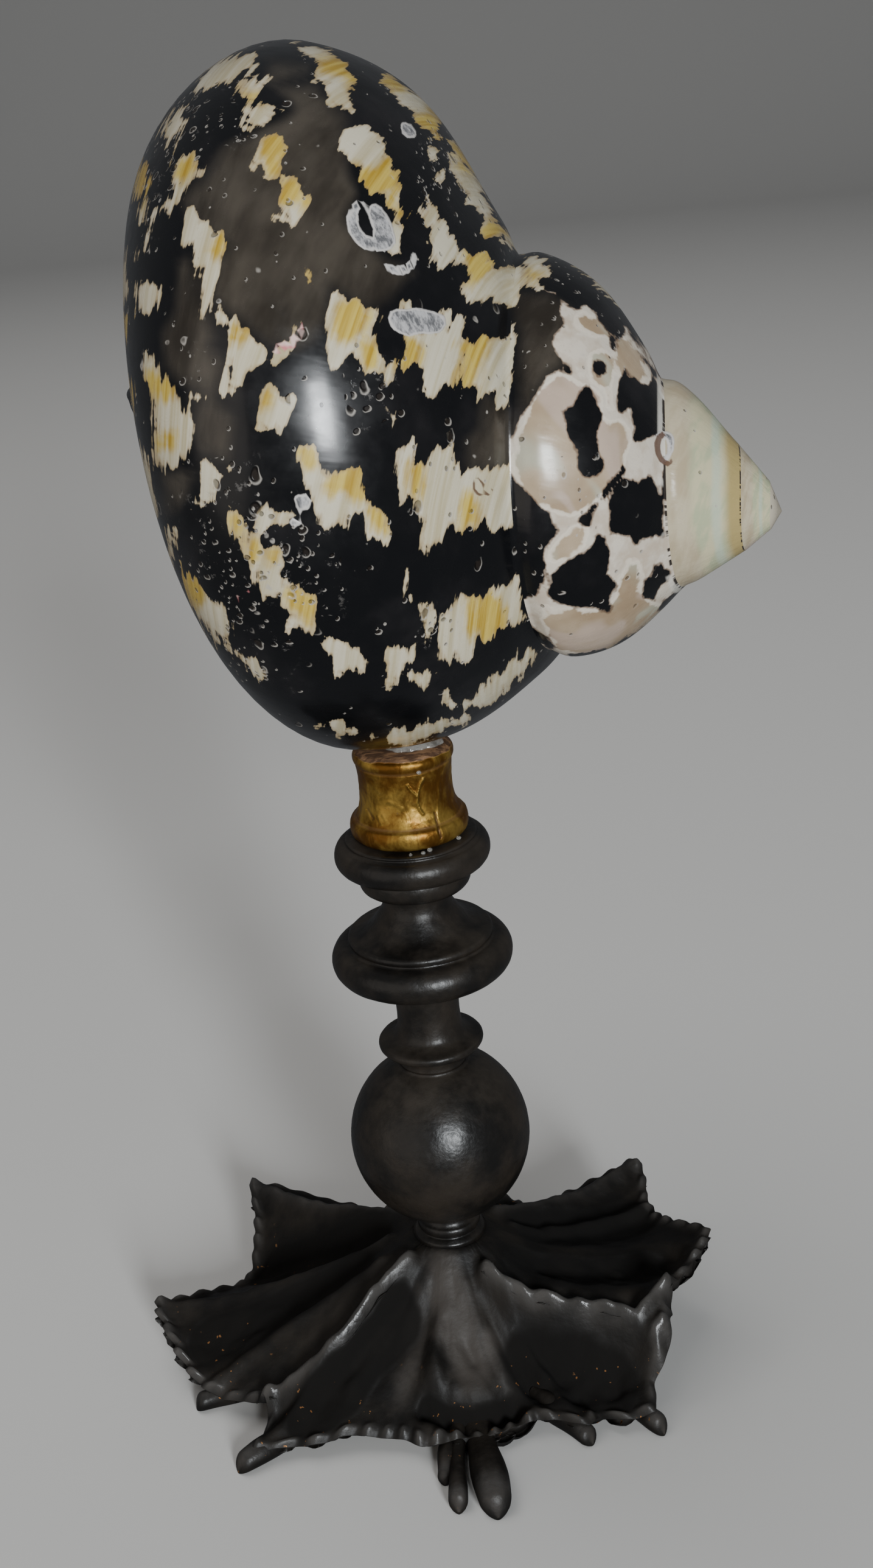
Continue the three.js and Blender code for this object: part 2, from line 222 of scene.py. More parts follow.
def shell_mesh():
    """The shell as one closed surface: a grid over all whorls, less what lies buried between them."""
    bm = bmesh.new()
    first, lip = round(FIRST_AGE * RINGS), round(LIP_AGE * RINGS)
    count = lip - first
    first_hole = lip - RINGS - round(HOLE_TURNS * RINGS)
    bmesh.ops.create_grid(bm, x_segments=count, y_segments=COLUMNS, size=1)
    growth = bm.loops.layers.uv.new("growth")
    inside = bm.verts.layers.float.new("inside")
    turn = bm.verts.layers.float.new("turn")
    rings = [whorl((first + k) / RINGS) for k in range(count + 1)]
    cell = {}
    for v in bm.verts:
        i = round((v.co.x + 1) / 2 * count)
        j = round((v.co.y + 1) / 2 * COLUMNS)
        cell[v] = (first + i, j)
        depth, radius = rings[i][j]
        v.co = placed(depth, radius, (first + i) / RINGS)
    buried = []
    for face in bm.faces:
        marks = [cell[v] for v in face.verts]
        i, j = min(m[0] for m in marks), min(m[1] for m in marks)
        in_hole = j >= SHOULDER + SIDE + FLOOR and i >= first_hole
        if i < lip - RINGS and j >= SHOULDER and not in_hole:
            buried.append(face)
            continue
        for loop in face.loops:
            k, column = cell[loop.vert]
            loop[growth].uv = (k / RINGS, across_of(column))
    bmesh.ops.delete(bm, geom=buried, context="FACES")
    bmesh.ops.remove_doubles(bm, verts=bm.verts, dist=1e-3)

    apex_loop, *loops = sorted(open_loops(bm), key=lambda loop: mean_over(loop, depth_of))
    hole_loop, lip_loop = sorted(loops, key=lambda loop: mean_over(loop, radius_of))
    tip = placed(seam(FIRST_AGE)[0] * 0.15, 0, 0)
    close_to_point(bm, apex_loop, tip)
    for face in bm.faces:
        if any((v.co - tip).length < 1e-3 for v in face.verts):
            for loop in face.loops:
                loop[growth].uv = TIP_GROWTH
    bottom = min(depth_of(v.co) for e in hole_loop for v in e.verts)
    close_to_point(bm, hole_loop, placed(bottom * 0.95, 0, 0))

    # the lip turns in, and the hollow runs back inside the last whorl
    for v in {v for e in lip_loop for v in e.verts}:
        v[turn] = math.atan2(radius_of(v.co) - MOUTH_RADIUS, depth_of(v.co) - MOUTH_DEPTH)
    now = seam(LIP_AGE + 1)
    bands = [(0.003, 1.12), (0.008, 1.05), (0.016, 1.0), (LIP_ROUNDING, 0.97)]
    bands += [(0.06 + 0.025 * k, 0.97 - 0.002 * k) for k in range(12)]
    edge = lip_loop
    for turns_back, scale in bands:
        age = LIP_AGE - turns_back
        then = seam(age + 1)
        made = bmesh.ops.extrude_edge_only(bm, edges=edge)["geom"]
        edge = [e for e in made if isinstance(e, bmesh.types.BMEdge)]
        for v in (v for v in made if isinstance(v, bmesh.types.BMVert)):
            depth = (MOUTH_DEPTH + MOUTH_SIZE * scale * math.cos(v[turn])) * then[0] / now[0]
            radius = (MOUTH_RADIUS + MOUTH_SIZE * scale * math.sin(v[turn])) * then[1] / now[1]
            v.co = placed(depth, radius, age)
            v[inside] = min(1, turns_back / LIP_ROUNDING)
        for e in edge:
            for f in e.link_faces:
                for loop in f.loops:
                    loop[growth].uv = (age, 1.0)
    end = placed(MOUTH_DEPTH * then[0] / now[0], MOUTH_RADIUS * then[1] / now[1], age - 0.04)
    close_to_point(bm, edge, end)
    bmesh.ops.recalc_face_normals(bm, faces=bm.faces)
    return bm


# ---- camera ----
PICTURE = (1435, 2576)
FOCAL = 3000.0                    # pixels
EYE = Vector((2.908, -213.704, 166.0))
PITCH, ROLL = math.radians(22), math.radians(5.3)


def in_picture(points):
    """Picture coordinates of points in millimetres."""
    q = points - np.array(EYE)
    x = q[:, 0]
    y = q @ np.array((0, math.sin(PITCH), math.cos(PITCH)))
    z = q @ np.array((0, math.cos(PITCH), -math.sin(PITCH)))
    u, v = FOCAL * x / z, -FOCAL * y / z
    c, s = math.cos(ROLL), math.sin(ROLL)
    return np.stack([PICTURE[0] / 2 + u * c + v * s, PICTURE[1] / 2 - u * s + v * c], 1)


def facing_camera(mesh):
    """A placed mesh's points in millimetres, and how much each faces the camera, -1 to 1."""
    places, normals = np.zeros(len(mesh.vertices) * 3), np.zeros(len(mesh.vertices) * 3)
    mesh.vertices.foreach_get("co", places)
    mesh.vertices.foreach_get("normal", normals)
    places, normals = places.reshape(-1, 3) / MM, normals.reshape(-1, 3)
    toward = np.array(EYE) - places
    return places, (toward * normals).sum(1) / np.linalg.norm(toward, axis=1)


def write_layer(mesh, name, values):
    mesh.attributes.new(name, "FLOAT", "POINT").data.foreach_set("value", values.astype(np.float32))


def off_segment(points, a, b):
    """Distance of each point from the straight line between two others."""
    side = b - a
    along = np.clip(((points - a) @ side) / max(side @ side, 1e-9), 0, 1)
    return np.hypot(*(points - a - along[:, None] * side).T)


# ---- markings ----
# Drawn one by one. Each window of the picture has a left, a top and a zoom. Each outline is a list of
# corners in its window and ends with a semicolon. The shell takes them where the camera sees it.
ZOOM = 2.8
CROWN = (200, 60, ZOOM)
BROW = (540, 60, ZOOM)
LEFT = (200, 400, ZOOM)
MIDDLE = (540, 400, ZOOM)
RIGHT = (860, 400, ZOOM)
LOW_LEFT = (230, 740, ZOOM)
LOW_MIDDLE = (570, 740, ZOOM)
LOW_RIGHT = (900, 740, ZOOM)
BOTTOM = (480, 980, ZOOM)
WIDE = (190, 50, 1.7)
WHOLE = (0, 0, 1)
SPIRE = (780, 450, 1.9)
UNDER = (300, 720, 1.9)
BELLY = (190, 600, 1.555)

CREAM = {
    UNDER: """
60,75 75,68 90,85 110,95 135,90 155,82 150,100 125,130 115,150 100,170 95,190 85,200 75,195 60,205 40,220
22,228 25,215 40,185 50,165 65,145 60,120 68,100;
0,405 15,415 30,435 50,450 55,470 60,490 85,488 105,500 120,520 140,535 150,550 160,570 155,600 140,610
130,630 150,650 170,660 180,680 165,690 150,685 130,665 110,650 95,640 90,615 75,590 60,565 45,550 30,540
20,510 5,480 -5,450;
185,680 205,675 215,690 235,700 250,715 270,740 268,758 250,760 235,745 215,735 200,720 190,705;
138,228 165,223 190,243 198,270 213,283 228,298 231,320 243,332 265,323 290,323 316,333 340,340 337,368
330,388 332,408 318,422 315,430 332,445 330,466 345,473 362,463 384,475 400,490 420,490 434,512 432,535
437,552 424,565 430,587 420,614 390,612 376,594 362,592 348,607 320,610 323,578 338,562 346,548 338,540
322,530 307,512 300,494 285,494 263,502 243,474 227,457 219,432 225,412 215,400 205,382 192,362 177,342
169,317 157,297 145,274 137,250;
203,296 223,262 240,233 262,217 290,217 315,219 330,211 352,217 362,245 347,273 322,281 300,278 280,283
260,290 240,288 222,300;
350,28 385,18 408,30 422,58 425,88 440,108 450,125 458,135 480,115 500,100 525,88 545,92 565,105 572,130
560,150 580,165 585,190 600,210 620,225 640,245 638,270 650,290 660,305 640,325 610,322 580,328 570,310
568,285 560,260 545,235 530,235 520,250 510,275 500,285 495,270 480,285 465,290 455,275 440,285 420,283
424,250 410,225 402,200 408,190 398,172 390,152 385,122 375,98 360,90 346,74 355,50;
437,640 455,632 475,635 495,645 510,640 530,650 545,665 560,690 580,690 575,710 575,735 560,728 550,705
530,700 515,715 500,735 485,738 482,715 480,695 470,680 455,670 445,655;
625,665 635,650 655,655 680,645 700,648 715,655 715,670 728,685 720,695 700,710 690,725 675,745 665,765
650,785 642,800 635,785 630,765 638,745 635,720 640,700 630,685;
""",
    BELLY: """
350,412 365,388 392,371 425,368 452,376 455,394 430,398 405,408 385,428 360,438 345,428;
290,380 310,378 330,395 335,415 350,440 365,460 390,450 420,455 440,470 438,495 425,520 430,545 425,560
440,570 470,575 500,590 515,605 518,620 505,640 520,660 515,680 495,675 485,655 470,640 462,660 448,675
445,660 460,630 440,600 425,580 400,565 380,550 370,530 350,500 340,475 320,450 305,425 295,400;
218,243 232,245 240,262 265,262 300,255 285,275 268,300 262,330 240,350 210,358 190,368 200,340 215,310
212,285;
""",
    CROWN: """
335,262 362,178 430,125 540,82 612,68 620,95 600,110 636,132 602,156 545,170 490,212 440,228 410,222
370,235;
600,170 650,160 700,178 725,205 690,225 640,238 628,262 640,300 655,318 760,335 700,362 665,398 600,418
530,432 532,405 575,380 560,340 575,300 556,270 528,268 545,230 575,205;
180,440 205,370 240,330 290,318 262,370 298,380 300,400 270,430 240,490 215,530 200,510 215,470 190,490
175,485;
235,560 262,535 330,528 345,560 330,590 372,580 378,622 340,640 290,690 262,740 215,800 170,840 150,815
205,740 225,680 240,650 230,610;
60,640 90,580 130,590 118,640 120,680 75,760 55,765;
85,760 120,740 125,800 135,880 120,960 90,1036 60,1030 85,950 100,880 75,850;
780,30 870,45 965,75 985,100 1020,120 1055,165 1075,215 1020,232 1030,262 1070,300 1062,345 1010,325 985,308
940,320 965,290 960,262 925,250 905,225 925,205 885,190 905,160 895,105 815,100 835,80 790,60;
620,500 640,460 700,435 735,470 770,520 740,555 735,620 725,650 650,672 640,640 655,590 625,595 580,615
605,570 620,530;
745,680 775,645 800,650 840,690 862,745 860,770 825,800 790,850 740,875 710,865 705,840 735,815 745,760;
283,775 310,790 370,820 400,880 450,890 480,930 500,965 480,990 450,1010 430,1036 300,1036 330,1000 285,955
290,880 280,830;
""",
    BROW: """
235,160 285,165 330,205 420,275 490,345 510,385 510,440 510,480 460,455 400,385 375,345 330,310 290,265
245,195;
570,470 595,500 620,540 660,600 700,680 745,790 760,840 810,900 890,950 915,985 880,992 800,955 745,940
705,905 690,860 700,830 650,760 600,680 560,600 548,545 570,530;
55,480 75,435 130,405 180,410 245,470 265,530 255,570 310,570 325,640 320,690 345,780 345,830 320,850
330,960 350,985 320,1010 285,980 300,900 280,800 255,735 250,715 180,725 165,690 120,685 135,650 140,600
70,560;
440,770 462,735 500,790 540,870 580,950 640,1000 720,985 760,1036 480,1036 475,960 435,945 465,920 450,860
430,810;
460,490 480,510 498,570 480,560;
495,650 530,615 535,630 510,680;
""",
    LEFT: """
290,0 290,30 310,45 360,35 372,70 350,150 345,210 370,250 360,290 375,340 370,380 400,340 420,290 415,240
430,190 465,130 445,100 450,60 490,20 500,0;
440,250 425,310 420,370 455,370 475,440 500,455 490,520 455,620 440,710 490,700 550,640 560,600 605,560
700,555 730,510 790,495 830,450 835,370 800,400 790,440 730,480 640,490 600,430 560,395 520,330 480,320;
85,160 140,185 180,210 175,250 150,300 110,320 85,330 75,300 65,230 70,170;
-20,0 15,0 20,150 30,180 20,250 0,310 -20,300;
-20,320 30,330 25,420 10,520 -20,520;
20,600 45,640 55,690 48,830 65,900 110,990 125,960 130,1036 100,1036 60,960 30,830 20,700;
100,500 140,515 160,555 190,590 230,650 260,710 290,760 300,800 320,780 320,720 335,690 365,672 360,720
340,760 335,830 345,860 320,870 340,910 320,910 300,960 250,1030 200,1060 175,1010 155,950 150,880 150,820
145,740 130,680 125,640 105,630 90,570;
640,640 690,650 730,670 745,700 800,700 790,740 755,770 760,800 720,860 690,850 610,880 615,800 625,700;
840,90 870,140 875,180 860,190 845,150 832,120;
800,930 830,930 870,940 905,970 900,1036 820,1036 810,990;
""",
    MIDDLE: """
-10,205 50,215 90,270 130,262 165,275 190,310 230,300 240,340 200,390 195,430 210,480 235,510 270,515
295,555 285,620 250,645 235,610 190,590 160,570 130,520 100,510 60,560 10,570 -5,530 -10,480;
330,265 370,260 392,300 330,325;
340,410 350,420 360,480 330,550 345,590 400,560 430,570 425,630 400,720 450,690 480,710 510,660 550,650
590,600 600,550 620,520 615,470 610,400 630,350 595,320 570,350 555,310 530,300 500,330 540,360 545,395
470,400;
600,610 590,670 640,680 665,665 690,710 720,685 755,680 755,720 800,770 830,750 850,680 860,560 870,440
865,370 830,400 800,430 740,440 690,430 660,460 620,460 630,500 610,560;
470,0 465,80 490,110 530,125 560,100 600,90 640,120 650,170 620,200 650,270 690,280 740,245 790,270 830,300
875,300 880,230 895,120 840,115 770,105 735,60 700,50 640,40 560,0;
905,60 960,60 1010,90 1036,130 1036,160 985,180 980,220 920,215 890,190 915,140;
270,760 320,755 320,810 290,860 270,850;
390,890 400,920 385,970 370,1036 310,1036 330,960 345,930;
500,930 560,940 570,910 580,960 585,1036 430,1036 470,1000;
""",
    LOW_LEFT: """
0,0 35,0 45,60 55,110 65,200 80,300 60,300 30,260 10,180 0,100;
125,360 180,355 165,400 150,450 155,500 145,530 125,500 125,440 135,400;
105,510 125,520 130,550 110,530;
250,815 280,820 300,860 270,850;
""",
    LOW_MIDDLE: """
235,0 290,0 300,70 350,65 380,30 400,0 490,0 500,60 510,90 590,90 650,75 700,70 740,40 752,0 760,100 765,200
765,300 740,340 680,375 650,350 645,305 610,360 580,380 555,410 545,370 510,340 480,350 450,400 430,440
410,400 370,450 345,515 350,400 345,290 320,320 305,290 300,230 275,280 245,270 250,230 245,180 225,150
225,100 240,50;
265,535 280,600 290,660 320,700 300,745 285,690 260,630;
350,700 380,710 395,790 370,850 355,890 355,780;
525,645 560,670 620,670 680,635 740,610 780,540 800,600 815,700 820,760 805,790 750,815 690,820 670,870
640,880 600,870 590,920 580,960 510,985 495,930 470,990 430,970 420,900 415,800 430,760 490,710;
""",
    BOTTOM: """
530,350 560,345 600,360 655,345 640,400 600,420 560,390 525,375;
715,480 750,490 800,480 850,450 900,410 940,340 960,350 1036,290 1080,240 1140,230 1130,270 1036,380
1000,420 940,480 870,515 800,505 745,520;
430,636 500,618 560,598 640,583 700,572 770,552 840,548 790,588 730,602 670,627 630,660 570,677 500,692
462,690;
170,575 210,575 250,590 280,610 310,625 250,640 215,655 200,620 180,610;
90,610 110,580 150,580 145,600;
340,625 400,640 380,660;
695,430 725,430 720,480 700,485;
""",
    RIGHT: """
240,105 300,150 380,240 455,300 470,270 400,190 330,130 270,100;
""",
}

OCHRE = {
    BELLY: """
298,390 322,392 335,430 355,465 372,500 350,490 330,455 308,420;
440,575 475,580 505,600 510,620 490,632 465,625 445,600;
""",
    CROWN: """
560,250 630,250 625,310 560,300;
250,570 320,550 330,600 280,650 250,640;
60,640 90,580 130,590 118,640 120,680 75,760;
900,110 985,100 1060,150 1070,210 1000,180 950,150 920,140;
650,470 710,440 765,520 735,560 730,640 690,650 665,600 670,540;
750,690 800,655 840,700 855,760 800,770 750,760;
440,920 490,925 510,965 460,1010 410,990;
""",
    BROW: """
243,165 300,180 340,240 290,240;
400,370 470,350 515,400 515,480 440,430;
580,510 630,550 660,620 610,600;
740,840 810,900 745,935 710,900;
130,600 190,612 250,585 315,570 330,640 325,690 250,715 180,728 160,690 115,685;
275,770 345,770 350,835 300,830;
660,990 740,990 790,1036 660,1036;
""",
    LEFT: """
500,410 520,370 550,390 580,410 530,440 495,455 475,435;
130,600 200,610 240,660 215,705 170,720 140,690 120,640;
180,880 230,870 225,930 175,930;
640,690 690,680 700,730 650,760 630,740;
840,90 870,140 875,180 860,190 845,150 832,120;
-20,320 30,330 25,420 10,520 -20,520;
20,600 45,640 55,690 48,830 30,830;
""",
    MIDDLE: """
50,280 150,270 190,330 170,390 110,445 40,430 40,350;
150,450 200,470 225,570 165,540;
355,430 430,470 415,560 345,590 325,545 350,480;
620,480 690,430 735,430 720,500 690,560 655,680 590,680 600,600 635,520;
640,40 705,40 765,100 700,140 645,175 635,110;
930,130 990,150 930,180;
""",
    UNDER: """
450,150 480,115 500,95 545,88 575,110 575,150 590,190 575,205 545,190 520,165 490,165 460,178;
570,215 600,208 630,240 635,285 610,290 590,260;
148,235 180,250 202,290 218,325 215,365 190,335 168,290;
240,345 290,338 322,350 302,385 262,390;
320,485 360,472 412,498 428,550 400,585 370,560 345,522;
-4,405 30,432 57,470 62,498 35,525 8,495;
358,35 385,28 400,40 412,75 390,85 366,72;
""",
    LOW_MIDDLE: """
300,80 350,70 350,150 320,230 290,235 295,150;
560,200 600,260 600,330 558,400 545,330 545,240;
595,670 640,665 695,680 718,740 722,805 680,840 650,880 600,865 590,780;
560,675 575,675 575,830 560,830;
""",
}

# the second whorl is ground through to its pearly layer; dark patches are left on it
NACRE = {
    WHOLE: """
870,480 930,480 1000,500 1060,570 1100,620 1108,700 1116,850 1116,930 1108,975 1085,1012 1000,1062 920,1080
885,1062 862,1010 845,900 836,800 836,700 842,600 852,540;
""",
}
# dark shell that is left on the second whorl, and along the seams
DARK = {
    RIGHT: """
20,40 120,70 240,110 300,170 380,240 460,300 470,350 460,430 430,430 400,400 340,340 290,290 240,305 190,270
150,230 130,190 150,150 100,90;
-120,230 60,220 130,230 170,280 175,370 130,440 150,500 185,560 130,610 60,680 0,780 -60,900 -120,900;
180,560 215,565 220,600 185,590;
255,690 300,650 330,700 370,780 360,820 330,870 340,930 365,1000 362,1030 330,1057 282,1067 247,1032 245,960
215,890 200,830 185,770 220,750 250,720;
440,640 465,590 480,620 520,640 545,670 600,625 610,680 650,760 680,740 680,800 655,870 600,885 520,915
500,900 510,840 495,760 435,785 430,700;
330,545 370,550 375,590 345,605 325,580;
400,430 415,435 418,495 395,470;
455,320 480,360 560,500 620,610 600,600 540,500 480,390;
""",
    LOW_RIGHT: """
350,75 360,95 310,150 260,215 215,265 190,280 250,210 290,150;
310,170 350,125 390,130 420,165 440,130 465,105 495,150 510,200 535,290 530,390 440,410 410,440 380,400
300,385 295,330 300,280 285,240 300,210;
535,85 555,120 555,180 545,225 530,200;
150,315 190,290 185,340 165,335;
235,395 260,400 260,430 290,460 280,530 275,570 310,600 325,625 290,670 280,730 200,720 60,705 20,690 10,640
25,600 10,570 60,530 130,500 180,470 215,430 225,400;
520,505 545,540 575,570 560,600 520,620 490,690 450,670 440,640 445,600 470,580 490,530;
520,730 540,690 600,645 640,640 600,700;
""",
    LOW_MIDDLE: """
735,100 800,170 830,220 890,260 940,300 945,350 970,370 930,430 895,480 900,510 920,530 900,600 860,660
800,690 770,600 750,520 740,440 735,330 730,250 730,150;
840,790 880,830 940,870 960,930 900,900 850,890 820,870;
""",
}
# where the pearl is pinkish, not cream
BLUSH = {
    SPIRE: """
150,470 165,440 185,400 205,360 235,325 265,312 300,325 330,350 365,350 385,360 400,380 412,420 400,440
420,455 455,450 475,470 490,500 492,530 480,560 465,600 450,630 430,655 400,690 370,720 330,740 290,742
250,735 210,730 185,715 165,690 150,660 130,620 122,590 128,540 135,500;
345,110 375,130 410,150 440,175 450,195 430,205 400,195 370,195 345,185 325,160 320,130;
455,200 490,200 510,230 530,270 545,310 555,330 530,330 505,330 480,325 450,320 440,290 445,240;
360,260 400,240 440,250 440,300 430,340 430,400 440,430 410,430 405,390 380,350 360,330;
228,900 235,870 270,830 310,800 345,790 352,815 340,845 300,880 250,905;
215,1045 260,1042 320,1050 380,1055 420,1045 445,1000 450,950 480,900 510,900 525,950 520,990 530,1015
560,1030 620,1045 580,1090 520,1130 440,1170 380,1185 320,1190 260,1175 235,1140 215,1080;
""",
}
# where the black is thinned to a smoky brown, and in part a painted reflection of the room
SMOKE_AND_REFLECTION = {
    WIDE: """
430,150 560,140 600,200 640,240 640,340 680,450 640,520 740,640 830,680 740,740 700,760 610,720 590,800
560,860 500,890 420,880 330,800 270,740 280,650 320,600 250,560 190,470 240,420 300,330 370,290 480,220;
430,90 550,85 560,130 430,140;
""",
    LEFT: """
250,80 340,60 350,250 370,330 420,420 400,480 480,560 450,640 430,720 500,800 480,980 350,960 350,800
380,680 260,640 210,560 190,420 250,300;
""",
    MIDDLE: """
720,700 830,780 860,900 850,1036 640,1036 650,900 700,850;
880,250 1000,240 1100,300 1080,560 1000,640 900,780 880,600;
""",
    LOW_LEFT: """
90,110 200,60 280,100 230,230 130,300;
""",
}
# chalky worm scars
SCAR = {
    WHOLE: """
600,326 588,328 574,340 570,358 574,380 584,398 600,411 622,414 640,410 650,398 648,382 640,362 632,346
622,336 612,334 604,342 606,356 612,370 616,384 612,392 602,388 592,376 586,360 588,346 598,338;
660,203 672,200 680,206 686,220 680,228 668,226 658,214;
677,412 688,424 682,442 666,453 642,450 622,437 634,432 650,437 665,436 674,427;
637,515 650,508 668,509 684,506 700,510 716,514 731,519 733,534 722,546 706,549 690,548 674,552 660,550
648,543 639,530;
""",
    UNDER: """
352,186 375,170 398,182 402,208 385,226 362,222 350,206;
352,238 374,246 372,268 350,284 330,278 334,258;
""",
    RIGHT: """
600,885 625,868 660,866 686,880 694,910 690,950 676,990 650,1015 622,1012 640,990 662,965 668,930 660,900
636,888 616,896;
""",
}
# thin brown hoops round old worm holes
HOOP = {
    WHOLE: """
1091,708 1080,715 1075,729 1077,744 1085,760 1098,767 1106,760 1105,751 1100,758 1091,754 1086,744 1085,733
1087,722 1094,715;
795,779 784,781 777,788 775,798 778,808 786,815 796,817 806,813 812,805 810,803 803,810 795,813 787,811
781,805 779,798 781,790 787,785 795,783;
799,789 793,791 790,797 793,803 798,804 797,800 794,798 796,794 800,793;
""",
}
# where boring sponges left many pits
PITTED = {
    WHOLE: """
310,745 430,760 450,850 560,880 560,990 440,1000 480,1060 490,1130 400,1120 350,1040 300,930 290,820;
570,605 650,600 650,690 590,700;
270,165 400,150 420,230 330,260 280,300 240,390 225,330 240,240;
683,1010 740,1005 745,1050 690,1055;
300,560 360,560 345,640 300,640;
700,190 760,230 740,330 690,300;
905,750 970,750 970,810 905,810;
""",
}
# pink cracks
ROSE = {
    WHOLE: """
444,575 452,566 466,562 480,552 490,538 497,530 502,540 496,556 486,570 470,578 452,582;
374,990 384,982 396,975 408,967 420,952 427,946 423,958 412,970 402,980 392,989 382,993;
""",
}


def corners_of(windows):
    """Outlines of a set of windows in picture coordinates."""
    out = []
    for (left, top, zoom), outlines in windows.items():
        for outline in filter(str.strip, outlines.split(";")):
            corners = np.array([corner.split(",") for corner in outline.split()], float)
            out.append(corners / zoom + (left, top))
    return out


def outline_distance(points, outlines, reach):
    """Distance from each point to the nearest outline, below 0 inside it."""
    out = np.full(len(points), float(reach))
    for shape in outlines:
        near = np.nonzero(((points > shape.min(0) - reach) & (points < shape.max(0) + reach)).all(1))[0]
        p = points[near]
        best = np.full(len(p), float(reach))
        inner = np.zeros(len(p), bool)
        for a, b in zip(shape, np.roll(shape, -1, 0)):
            best = np.minimum(best, off_segment(p, a, b))
            if a[1] != b[1]:
                crosses = (a[1] > p[:, 1]) != (b[1] > p[:, 1])
                inner ^= crosses & (p[:, 0] < a[0] + (p[:, 1] - a[1]) / (b[1] - a[1]) * (b[0] - a[0]))
        out[near] = np.minimum(out[near], np.where(inner, -best, best))
    return out


PIXELS_PER_MM = 13.2              # at the shell
REACH, FAR = 60, 6.0              # no distance is needed past this, in pixels and in millimetres
VIEW_EDGE = 0.12                  # how far past the edge of the view the drawn markings fade out
MM_PER_TURN, MM_ACROSS = TURN * 34, 40     # on the last whorl, and across its shoulder
CREAM_SEED, OCHRE_SEED, OCHRE_SHARE = 11, 23, 0.6
BACK_TURN = -0.74                 # age at which each turn of the back's flames starts


def back_patches(draw, share):
    """Flames for the sides that the picture doesn't show, as (age, across) outlines."""
    out = []
    for turn_start in (0, -1):
        age = BACK_TURN + turn_start
        while age < 0.24 + turn_start:
            across = draw.uniform(0.0, 0.15)
            top = 2.8 if turn_start == 0 else 0.95
            lean = draw.uniform(-0.01, 0.01)
            while across < top:
                narrow = 1 if across < 1.2 else 0.62
                width = draw.uniform(0.09, 0.26) * narrow
                lean += draw.uniform(-0.016, 0.016)
                count = draw.randint(7, 10)
                shape = []
                for side, least, most in ((1, 0.010, 0.026), (-1, 0.007, 0.023)):
                    for k in range(count):
                        s = k / (count - 1) if side > 0 else 1 - k / (count - 1)
                        out_from_middle = side * draw.uniform(least, most) * share
                        shape.append((age + lean + out_from_middle + 0.008 * s, across + width * s))
                if draw.random() < share:
                    out.append(np.array(shape))
                across += width + draw.uniform(-0.02, 0.16) * narrow
            age += draw.uniform(0.046, 0.068)
    return out


def mark_shell(mesh):
    """Writes how far each point of the shell is from each kind of marking, in millimetres."""
    count = len(mesh.vertices)
    places, facing = facing_camera(mesh)
    inside = np.zeros(count)
    mesh.attributes["inside"].data.foreach_get("value", inside)
    seen = np.clip((facing + VIEW_EDGE) / VIEW_EDGE, 0, 1) * (inside < 0.01)
    seen = seen * seen * (3 - 2 * seen)
    picture = in_picture(places)

    owner = np.zeros(len(mesh.loops), np.int32)
    mesh.loops.foreach_get("vertex_index", owner)
    uv = np.zeros(len(mesh.loops) * 2)
    mesh.uv_layers["growth"].data.foreach_get("uv", uv)
    grown = np.zeros((count, 2))
    grown[owner] = uv.reshape(-1, 2)
    scale = np.array([MM_PER_TURN, MM_ACROSS])
    hidden, hidden_gold = (
        outline_distance(grown * scale, [flame * scale for flame in back_patches(random.Random(seed), share)],
                         FAR)
        for seed, share in ((CREAM_SEED, 1.0), (OCHRE_SEED, OCHRE_SHARE)))

    for name, windows in (("cream", CREAM), ("ochre", OCHRE), ("nacre", NACRE), ("dark", DARK),
                          ("blush", BLUSH), ("smoke_and_reflection", SMOKE_AND_REFLECTION), ("scar", SCAR), ("rose", ROSE),
                          ("pitted", PITTED), ("hoop", HOOP)):
        shown = np.minimum(outline_distance(picture, corners_of(windows), REACH) / PIXELS_PER_MM, FAR)
        unseen = {"cream": hidden, "ochre": hidden_gold + 0.4}.get(name, np.full(count, FAR))
        write_layer(mesh, name, seen * shown + (1 - seen) * unseen)


# ---- finishes ----
class Socket:
    """One output of a node; arithmetic on it adds Math nodes."""

    def __init__(self, finish, link):
        self.finish, self.link = finish, link

    def _math(self, operation, *values):
        return self.finish.node("Math", {"operation": operation}, dict(enumerate(values)))

    def __add__(self, other):
        return self._math("ADD", self, other)

    def __radd__(self, other):
        return self._math("ADD", other, self)

    def __sub__(self, other):
        return self._math("SUBTRACT", self, other)

    def __rsub__(self, other):
        return self._math("SUBTRACT", other, self)

    def __mul__(self, other):
        return self._math("MULTIPLY", self, other)

    def __rmul__(self, other):
        return self._math("MULTIPLY", other, self)

    def __abs__(self):
        return self._math("ABSOLUTE", self)

    def most(self, other):
        return self._math("MAXIMUM", self, other)

    def least(self, other):
        return self._math("MINIMUM", self, other)


